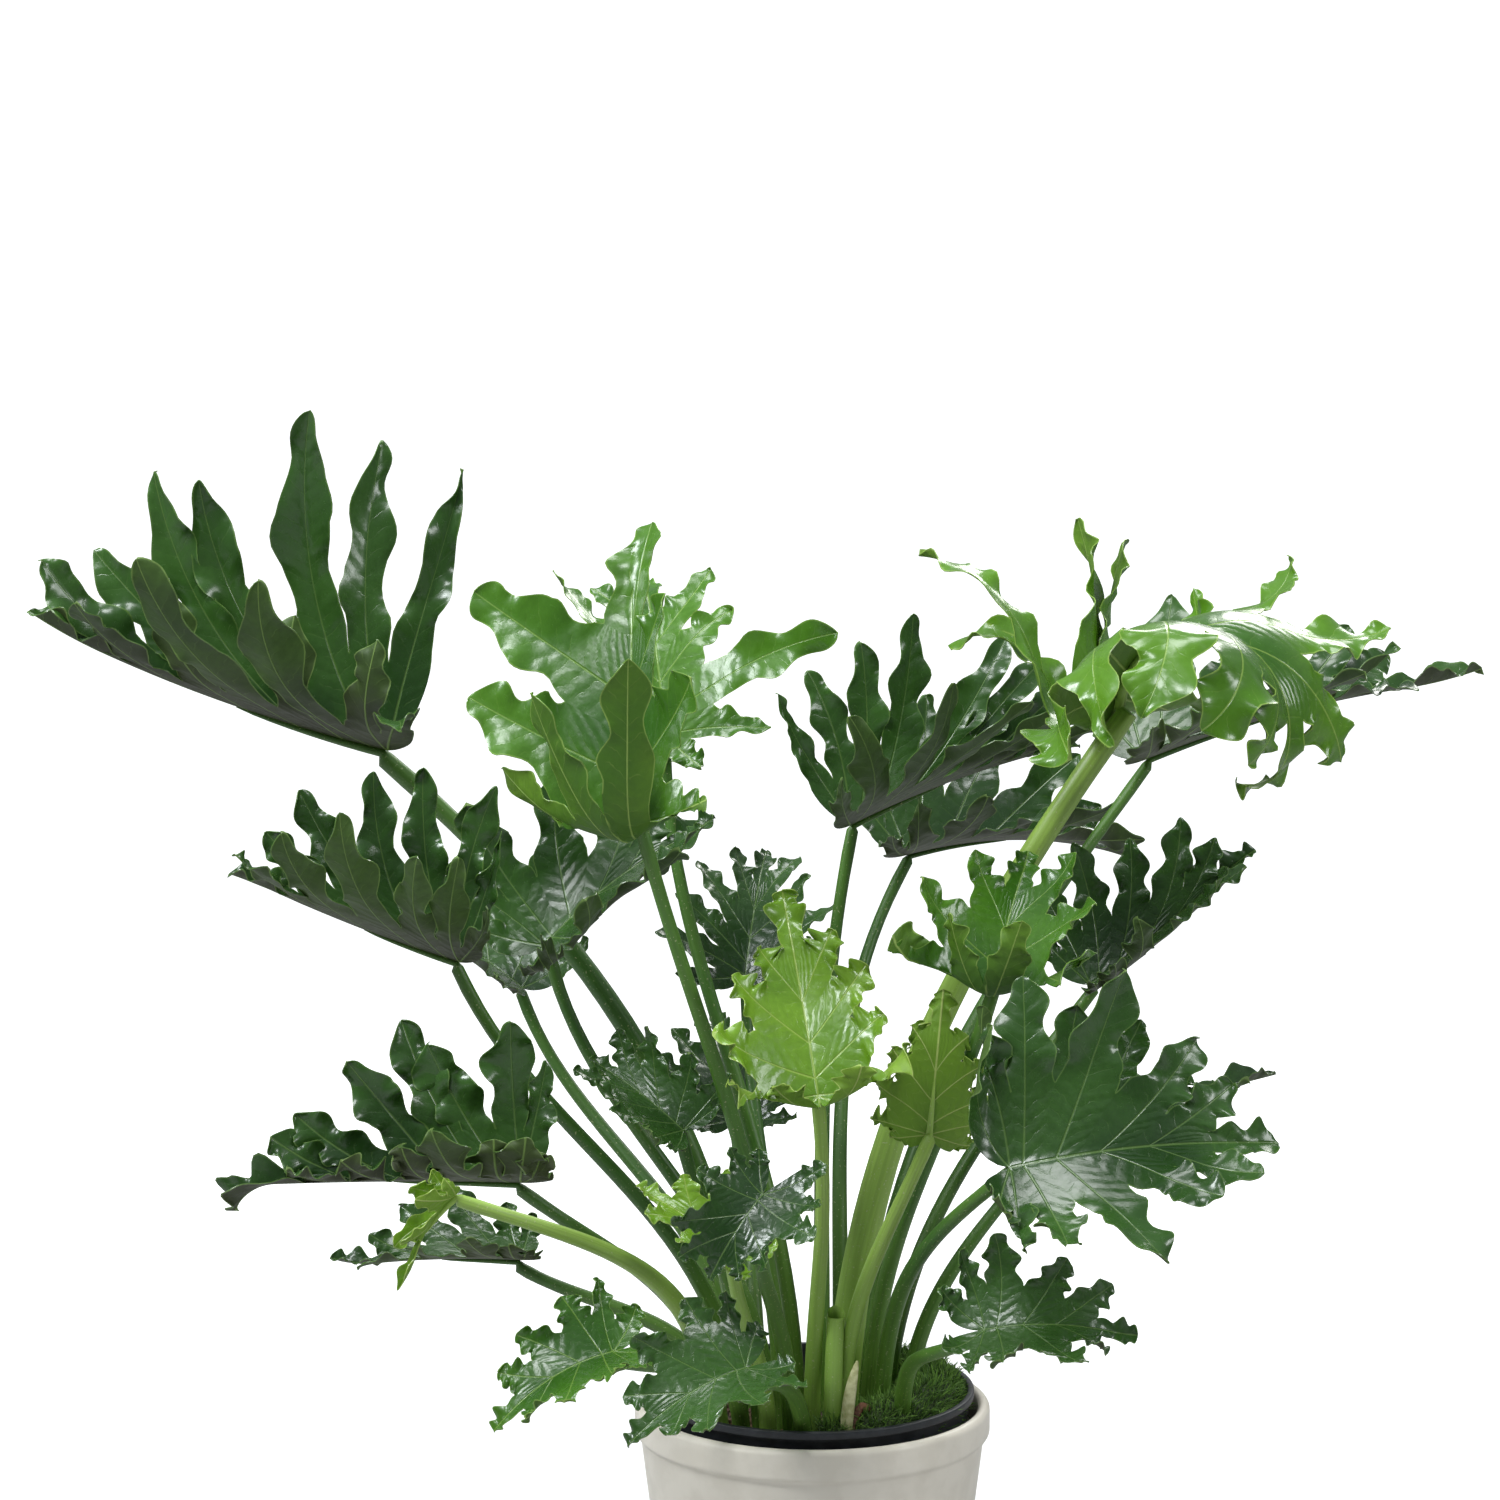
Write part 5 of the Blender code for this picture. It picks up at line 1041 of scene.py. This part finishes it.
def cut_stalk_piece(skin, cut_face):
    """The cut stalk: a tube with a bevelled, slightly hollowed pale end, which drops toward
    the front by seven tenths of the distance from its back."""
    x, y = CUT_STALK_PLACE
    foot, top = SOIL_TOP - HOLE_DEPTH + GAP, CUT_STALK_TOP
    t = np.linspace(0, 1, 18)
    path = np.stack([x + 0.004 * t ** 2, y - 0.002 * t ** 2, foot + (top - foot) * t], -1)
    radii = CUT_STALK_RADIUS * (1.1 - 0.1 * t)
    lip = [(0.97, 0.0), (0.90, 0.0006), (0.55, 0.0002), (0.25, -0.0006)]
    end = path[-1] + np.array([[0, 0, drop] for _, drop in lip])
    path = np.concatenate([path, end + [0, 0, -0.0006]])
    radii = np.concatenate([radii, CUT_STALK_RADIUS * np.array([share for share, _ in lip])])
    points, faces, maps = tube(path, radii, 24)
    pale_depth, slanted_depth = 0.0016, 0.002
    high = points[faces].mean(1)[:, 2] > top - pale_depth
    upper = points[:, 2] > top - slanted_depth
    points[upper, 2] -= 0.7 * np.maximum(0, y + CUT_STALK_RADIUS - points[upper, 1])
    uv = {"stalk": maps[faces.ravel()]}
    return mesh_piece("fine_cut_stalk", points, faces, [skin, cut_face], uv, high.astype(int), sharp=60)


def smooth_path(points, count):
    """A curve through given points: a cubic Hermite spline with the mean of the steps
    on either side for its slope at each."""
    points = np.asarray(points, float)
    slope = np.gradient(points, axis=0)
    place = np.linspace(0, len(points) - 1, count)
    first = np.minimum(place.astype(int), len(points) - 2)
    t = (place - first)[:, None]
    a, b, da, db = points[first], points[first + 1], slope[first], slope[first + 1]
    return ((2 * t ** 3 - 3 * t ** 2 + 1) * a + (t ** 3 - 2 * t ** 2 + t) * da
            + (3 * t ** 2 - 2 * t ** 3) * b + (t ** 3 - t ** 2) * db)


def sheath_piece(look):
    """The dry pointed sheath beside the cut stalk: a flattened tube along a curve through its
    points, whose radius is the sine of the share along it, raised low, tapering to a tip."""
    rings = 20
    path = smooth_path(SHEATH_PATH, rings)
    share = np.linspace(0.12, 0.985, rings)
    radii = SHEATH_RADIUS * np.sin(pi * share) ** 0.6
    points, faces, maps = tube(path, radii, 12, 0.45)
    return mesh_piece("dry_sheath", points, faces, [look], {"stalk": maps[faces.ravel()]}, sharp=70)


def root_piece(look):
    """The aerial root: a knobbly tube along its arch, its radius changed by two sines of the
    share along it and the turn round it."""
    rings, around = 60, 12
    path = smooth_path(ROOT_PATH, rings)
    share = np.linspace(0, 1, rings)[:, None]
    turn = np.linspace(0, 2 * pi, around, endpoint=False)[None]
    radii = ROOT_RADIUS * (0.93 + 0.05 * np.sin(37 * share + 2 * turn) + 0.04 * np.sin(91 * share - turn))
    points, faces, maps = tube(path, radii, around)
    return mesh_piece("fine_root", points, faces, [look], {"stalk": maps[faces.ravel()]}, sharp=70)


# Materials


def link(tree, a, b):
    """Join two sockets."""
    tree.links.new(a, b)


def maths(tree, operation, a, b=None, c=None):
    """A Math node fed by sockets or plain numbers."""
    made = tree.nodes.new("ShaderNodeMath")
    made.operation = operation
    for socket, value in zip(made.inputs, (a, b, c)):
        if isinstance(value, (int, float)):
            socket.default_value = value
        elif value is not None:
            link(tree, value, socket)
    return made.outputs[0]


def uv_parts(tree, map_name):
    """A UV map's socket, and its two numbers."""
    source = tree.nodes.new("ShaderNodeUVMap")
    source.uv_map = map_name
    split = tree.nodes.new("ShaderNodeSeparateXYZ")
    link(tree, source.outputs[0], split.inputs[0])
    return source.outputs[0], split.outputs[0], split.outputs[1]


def noise(tree, scale, detail, place=None):
    """A noise's socket, over a socket of places or over the node's own default."""
    made = tree.nodes.new("ShaderNodeTexNoise")
    made.inputs["Scale"].default_value = scale
    made.inputs["Detail"].default_value = detail
    if place is not None:
        link(tree, place, made.inputs["Vector"])
    return made.outputs[0]


def fade(tree, value, low, high):
    """One where the value is under low, falling smoothly to nought at high."""
    made = tree.nodes.new("ShaderNodeMapRange")
    made.interpolation_type = "SMOOTHSTEP"
    for key, number in (("From Min", low), ("From Max", high), ("To Min", 1.0), ("To Max", 0.0)):
        if isinstance(number, (int, float)):
            made.inputs[key].default_value = number
        else:
            link(tree, number, made.inputs[key])
    link(tree, value, made.inputs["Value"])
    return made.outputs["Result"]


def mixed(tree, factor, a, b):
    """Mix two colours, each a socket or a plain colour, on the colour sockets of a Mix node."""
    made = tree.nodes.new("ShaderNodeMix")
    made.data_type = "RGBA"
    for socket, value in ((made.inputs[0], factor), (made.inputs[6], a), (made.inputs[7], b)):
        if isinstance(value, (int, float)):
            socket.default_value = value
        elif isinstance(value, tuple):
            socket.default_value = (*value, 1)
        else:
            link(tree, value, socket)
    return made.outputs[2]


def new_group(name, inputs, outputs):
    """An empty node group with named sockets, its tree, and its input and output nodes."""
    tree = bpy.data.node_groups.new(name, "ShaderNodeTree")
    for label, kind in inputs:
        tree.interface.new_socket(label, in_out="INPUT", socket_type=kind)
    for label, kind in outputs:
        tree.interface.new_socket(label, in_out="OUTPUT", socket_type=kind)
    return tree, tree.nodes.new("NodeGroupInput"), tree.nodes.new("NodeGroupOutput")


def vein_group():
    """Masks and height of a blade's marks from its two maps: the midrib and lobe veins, side
    veins that leave them in slanting rows, the margin, and the part near the lobe's start."""
    tree, given, out = new_group(
        "blade_marks", [("Side vein spacing", "NodeSocketFloat")],
        [("Veins", "NodeSocketFloat"), ("Side veins", "NodeSocketFloat"),
         ("Margin", "NodeSocketFloat"), ("Near", "NodeSocketFloat"), ("Height", "NodeSocketFloat")])
    _, across, along = uv_parts(tree, "vein")
    _, margin, rib = uv_parts(tree, "edge")
    across = maths(tree, "ABSOLUTE", across)
    taper = maths(tree, "MULTIPLY_ADD", along, -LOBE_VEIN_TAPER, LOBE_VEIN_WIDTH)
    taper = maths(tree, "MAXIMUM", taper, LOBE_VEIN_LEAST)
    lobe = fade(tree, across, 0.0003, taper)
    midrib = fade(tree, rib, 0.0006, MIDRIB_WIDTH)
    veins = maths(tree, "MAXIMUM", lobe, midrib)
    wander = noise(tree, 22.0, 2.0)
    slant = maths(tree, "MULTIPLY_ADD", across, -SIDE_VEIN_SLANT, along)
    slant = maths(tree, "MULTIPLY_ADD", wander, SIDE_VEIN_WANDER, slant)
    beat = maths(tree, "FRACT", maths(tree, "DIVIDE", slant, given.outputs[0]))
    off = maths(tree, "ABSOLUTE", maths(tree, "SUBTRACT", beat, 0.5))
    side = maths(tree, "MULTIPLY", fade(tree, off, 0.006, 0.050), fade(tree, wander, 0.34, 0.66))
    side = maths(tree, "MULTIPLY", side, fade(tree, across, 0.012, 0.040))
    inside = maths(tree, "SUBTRACT", 1.0, fade(tree, margin, 0.001, 0.006))
    side = maths(tree, "MULTIPLY", side, inside)
    rim = fade(tree, margin, 0.0005, MARGIN_WIDTH)
    cushion = maths(tree, "MULTIPLY", fade(tree, off, 0.0, 0.5), -0.35)
    height = maths(tree, "MULTIPLY_ADD", veins, -1.0, cushion)
    height = maths(tree, "MULTIPLY_ADD", side, -0.20, height)
    near = fade(tree, along, 0.015, 0.17)
    for label, value in (("Veins", veins), ("Side veins", side), ("Margin", rim), ("Near", near),
                         ("Height", height)):
        link(tree, value, out.inputs[label])
    return tree


def mottle_group():
    """Slow and fine uneven tone over a plant's surface, from object coordinates."""
    tree, given, out = new_group(
        "uneven_tone", [("Slow scale", "NodeSocketFloat"), ("Fine scale", "NodeSocketFloat")],
        [("Slow", "NodeSocketFloat"), ("Fine", "NodeSocketFloat")])
    place = tree.nodes.new("ShaderNodeTexCoord")
    for label, detail in (("Slow", 2.0), ("Fine", 4.0)):
        uneven = tree.nodes.new("ShaderNodeTexNoise")
        uneven.inputs["Detail"].default_value = detail
        link(tree, place.outputs["Object"], uneven.inputs["Vector"])
        link(tree, given.outputs[f"{label} scale"], uneven.inputs["Scale"])
        link(tree, uneven.outputs[0], out.inputs[label])
    return tree


def new_look(name):
    """A material with its tree and its Principled shader."""
    look = bpy.data.materials.new(name)
    look.use_nodes = True
    return look, look.node_tree, look.node_tree.nodes["Principled BSDF"]


def use_group(tree, group, **values):
    """A node group placed in a material, with its inputs set."""
    made = tree.nodes.new("ShaderNodeGroup")
    made.node_tree = group
    for key, value in values.items():
        made.inputs[key.replace("_", " ")].default_value = value
    return made


def bump(tree, shader, height, distance, strength):
    """Feed a height, in shares of the distance, to the shader's normal."""
    made = tree.nodes.new("ShaderNodeBump")
    made.inputs["Distance"].default_value = distance
    made.inputs["Strength"].default_value = strength
    link(tree, height, made.inputs["Height"])
    link(tree, made.outputs[0], shader.inputs["Normal"])


def blade_look(name, deep, light, vein, marks, mottle, start=None):
    """A blade's surface: two greens mixed by a slow unevenness, paler veins and margin.  The
    upper side is waxy, paler toward its tips, with its veins pressed in.  The under side, which
    has a start colour where its lobes start, is duller, with its veins raised."""
    under = start is not None
    side = BLADE_SIDES["under" if under else "upper"]
    look, tree, shader = new_look(name)
    drawn = use_group(tree, marks, Side_vein_spacing=SIDE_VEIN_SPACING)
    tone = use_group(tree, mottle, Slow_scale=7.0, Fine_scale=160.0)
    slow = fade(tree, tone.outputs["Slow"], 0.36, 0.66)
    colour = mixed(tree, slow, deep, light)
    fine = maths(tree, "MULTIPLY", fade(tree, tone.outputs["Fine"], 0.35, 0.65), 0.22)
    colour = mixed(tree, fine, colour, tuple(0.62 * c for c in deep))
    if under:
        colour = mixed(tree, maths(tree, "MULTIPLY", drawn.outputs["Near"], 0.75), colour, start)
    else:
        tip = maths(tree, "SUBTRACT", 1.0, drawn.outputs["Near"])
        colour = mixed(tree, maths(tree, "MULTIPLY", tip, 0.45), colour, tuple(1.25 * c for c in light))
    for mark, share in (("Side veins", side["veins"] * 0.28), ("Veins", side["veins"]), ("Margin", 0.55)):
        colour = mixed(tree, maths(tree, "MULTIPLY", drawn.outputs[mark], share), colour, vein)
    link(tree, colour, shader.inputs["Base Color"])
    rough = maths(tree, "MULTIPLY_ADD", tone.outputs["Fine"], 0.16, side["roughness"])
    link(tree, rough, shader.inputs["Roughness"])
    shader.inputs["Specular IOR Level"].default_value = side["shine"]
    height = drawn.outputs["Height"]
    if under:
        height = maths(tree, "MULTIPLY", height, -1.0)
    bump(tree, shader, height, 0.0016, side["relief"])
    return look


def stalk_look(name, green, foot, mottle):
    """A stalk's skin: a green that runs into another at its foot, fine darker streaks along it
    and small pale flecks, with a soft shine."""
    look, tree, shader = new_look(name)
    place, _, along = uv_parts(tree, "stalk")
    stretch = tree.nodes.new("ShaderNodeMapping")
    stretch.inputs["Scale"].default_value = (26.0, 9.0, 1.0)
    link(tree, place, stretch.inputs[0])
    streak = noise(tree, 1.0, 5.0, stretch.outputs[0])
    tone = use_group(tree, mottle, Slow_scale=6.0, Fine_scale=420.0)
    colour = mixed(tree, fade(tree, along, 0.02, 0.30), green, foot)
    streaks = maths(tree, "MULTIPLY", fade(tree, streak, 0.38, 0.62), 0.42)
    colour = mixed(tree, streaks, colour, tuple(0.55 * c for c in green))
    slow = maths(tree, "MULTIPLY", fade(tree, tone.outputs["Slow"], 0.40, 0.62), 0.35)
    colour = mixed(tree, slow, colour, foot)
    flecks = maths(tree, "MULTIPLY", fade(tree, tone.outputs["Fine"], 0.30, 0.36), 0.6)
    colour = mixed(tree, flecks, colour, (0.50, 0.52, 0.28))
    link(tree, colour, shader.inputs["Base Color"])
    link(tree, maths(tree, "MULTIPLY_ADD", streak, 0.25, 0.30), shader.inputs["Roughness"])
    bump(tree, shader, streak, 0.0008, 0.35)
    return look


def plain_finish(name, dark, light, scale, roughness, depth):
    """A plain surface: two tones, roughness and height from one noise over object places."""
    look, tree, shader = new_look(name)
    place = tree.nodes.new("ShaderNodeTexCoord")
    uneven = noise(tree, scale, 6.0, place.outputs["Object"])
    colour = mixed(tree, fade(tree, uneven, 0.36, 0.64), light, dark)
    link(tree, colour, shader.inputs["Base Color"])
    rough = maths(tree, "MULTIPLY_ADD", uneven, 0.2, roughness - 0.1)
    link(tree, rough, shader.inputs["Roughness"])
    bump(tree, shader, uneven, depth, 0.8)
    return look


def sprig_look():
    """Moss sprigs, darker at the root, with a tone of their own each."""
    look, tree, shader = new_look("moss_sprigs")
    _, tone, tip = uv_parts(tree, "sprig")
    colour = mixed(tree, tone, (0.065, 0.160, 0.020), (0.18, 0.34, 0.050))
    root = maths(tree, "MULTIPLY", fade(tree, tip, 0.0, 0.8), 0.7)
    colour = mixed(tree, root, colour, (0.018, 0.035, 0.010))
    link(tree, colour, shader.inputs["Base Color"])
    link(tree, maths(tree, "MULTIPLY_ADD", tone, 0.2, 0.62), shader.inputs["Roughness"])
    return look


def add_camera():
    """The camera, looking slightly down on the plant's middle."""
    down = radians(CAMERA_DOWN)
    place = Vector(CAMERA_AIM) - CAMERA_DISTANCE * Vector((0, cos(down), -sin(down)))
    data = bpy.data.cameras.new("camera")
    data.lens = CAMERA_LENS
    data.sensor_width = CAMERA_SENSOR
    camera = bpy.data.objects.new("camera", data)
    camera.location = place
    camera.rotation_euler = (radians(90) - down, 0, 0)
    bpy.context.scene.collection.objects.link(camera)
    bpy.context.scene.camera = camera


def add_light(name, place, aim, size, power, colour):
    """A square soft lamp turned toward a point."""
    data = bpy.data.lights.new(name, "AREA")
    data.size = size
    data.energy = power
    data.color = colour
    light = bpy.data.objects.new(name, data)
    light.location = place
    light.rotation_euler = (Vector(aim) - Vector(place)).to_track_quat("-Z", "Y").to_euler()
    bpy.context.scene.collection.objects.link(light)


def floor_look():
    """A pale matt floor.  Away from the plant it glows white to the camera alone, and other
    rays find it half as pale, so that the leaves stay deep."""
    look, tree, shader = new_look("pale_floor")
    path = tree.nodes.new("ShaderNodeLightPath")
    place = tree.nodes.new("ShaderNodeTexCoord")
    away = tree.nodes.new("ShaderNodeVectorMath")
    away.operation = "LENGTH"
    link(tree, place.outputs["Object"], away.inputs[0])
    far = maths(tree, "SUBTRACT", 1.0, fade(tree, away.outputs["Value"], 0.4, 3.5))
    seen = path.outputs["Is Camera Ray"]
    link(tree, mixed(tree, seen, (0.45, 0.45, 0.45), (0.90, 0.90, 0.90)), shader.inputs["Base Color"])
    glow = mixed(tree, maths(tree, "MULTIPLY", seen, far), (0.0, 0.0, 0.0), (1.0, 1.0, 1.0))
    link(tree, glow, shader.inputs["Emission Color"])
    shader.inputs["Emission Strength"].default_value = 0.9
    shader.inputs["Roughness"].default_value = 0.7
    return look


def add_stage():
    """A pale round floor that curves up into a low wall all round, a surrounding that is white
    to the camera alone, and soft lamps overhead, in front, at both sides and behind."""
    steps = 64
    turn = np.linspace(0, 2 * pi, steps, endpoint=False)
    bend = np.linspace(0, pi / 2, 9)
    radius = np.concatenate([[0.02, 2.0, 5.0], FLOOR_RADIUS + FLOOR_CURVE * np.sin(bend),
                             [FLOOR_RADIUS + FLOOR_CURVE]])
    height = np.concatenate([[0, 0, 0], FLOOR_CURVE - FLOOR_CURVE * np.cos(bend), [FLOOR_WALL_TOP]])
    points = np.stack([radius[:, None] * np.cos(turn), radius[:, None] * np.sin(turn),
                       np.repeat(height[:, None], steps, axis=1)], -1).reshape(-1, 3)
    index = np.arange(len(radius) * steps).reshape(-1, steps)
    faces = np.concatenate([band(index)[:, ::-1], fan(len(points), index[0])])
    points = np.concatenate([points, [[0, 0, 0]]])
    mesh_piece("floor", points, faces, [floor_look()], sharp=80)
    world = bpy.data.worlds.new("soft_white")
    world.use_nodes = True
    path = world.node_tree.nodes.new("ShaderNodeLightPath")
    sky = mixed(world.node_tree, path.outputs["Is Camera Ray"], (0.34, 0.37, 0.40), (1.0, 1.0, 1.0))
    link(world.node_tree, sky, world.node_tree.nodes["Background"].inputs[0])
    bpy.context.scene.world = world
    for name, lamp in LAMPS.items():
        add_light(name, **lamp)
    bpy.context.scene.view_settings.view_transform = "Standard"


def settle(piece, replaced):
    """Let a piece ride on the plant and stand for its CAD node."""
    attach(piece, "root")
    if replaced is not None:
        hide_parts(replaced)


def dress_leaves(marks, mottle):
    """Put a fine blade and a fine stalk in place of each leaf's two CAD nodes, in its tone.
    Returns the palest skin of a stalk."""
    blades, skins = {}, {}
    for tone, own in TONES.items():
        blades[tone] = [blade_look(f"leaf_{tone}_upper", *own["upper"], marks, mottle),
                        blade_look(f"leaf_{tone}_under", *own["under"], marks, mottle, own["start"])]
        skins[tone] = stalk_look(f"{own['slot']}_skin_{tone}", own["skin"], own["foot"], mottle)
    for name, leaf in LEAVES.items():
        tone = leaf["tone"]
        settle(blade_piece(name, leaf, blades[tone]), f"blade_{name}")
        settle(stalk_piece(name, leaf, skins[tone]), f"stalk_{name}")
    return skins["young"]


def dress():
    """Put every fine piece in place of its CAD node and give it its look."""
    pale_skin = dress_leaves(vein_group(), mottle_group())
    plain = {name: plain_finish(name, **finish) for name, finish in PLAIN_FINISHES.items()}
    settle(pot_piece(plain["pale_glaze"]), "pot")
    settle(liner_piece(plain["black_liner"]), "nursery_liner")
    settle(soil_piece(plain["potting_soil"]), "soil")
    settle(bark_piece(plain["bark"]), None)
    settle(moss_piece([plain["moss_mat"], sprig_look()]), "moss")
    settle(sheath_piece(plain["dry_sheath_skin"]), None)
    settle(root_piece(plain["root_bark"]), "aerial_root")
    settle(cut_stalk_piece(pale_skin, plain["cut_face"]), "cut_stalk")


dress()
add_stage()
add_camera()
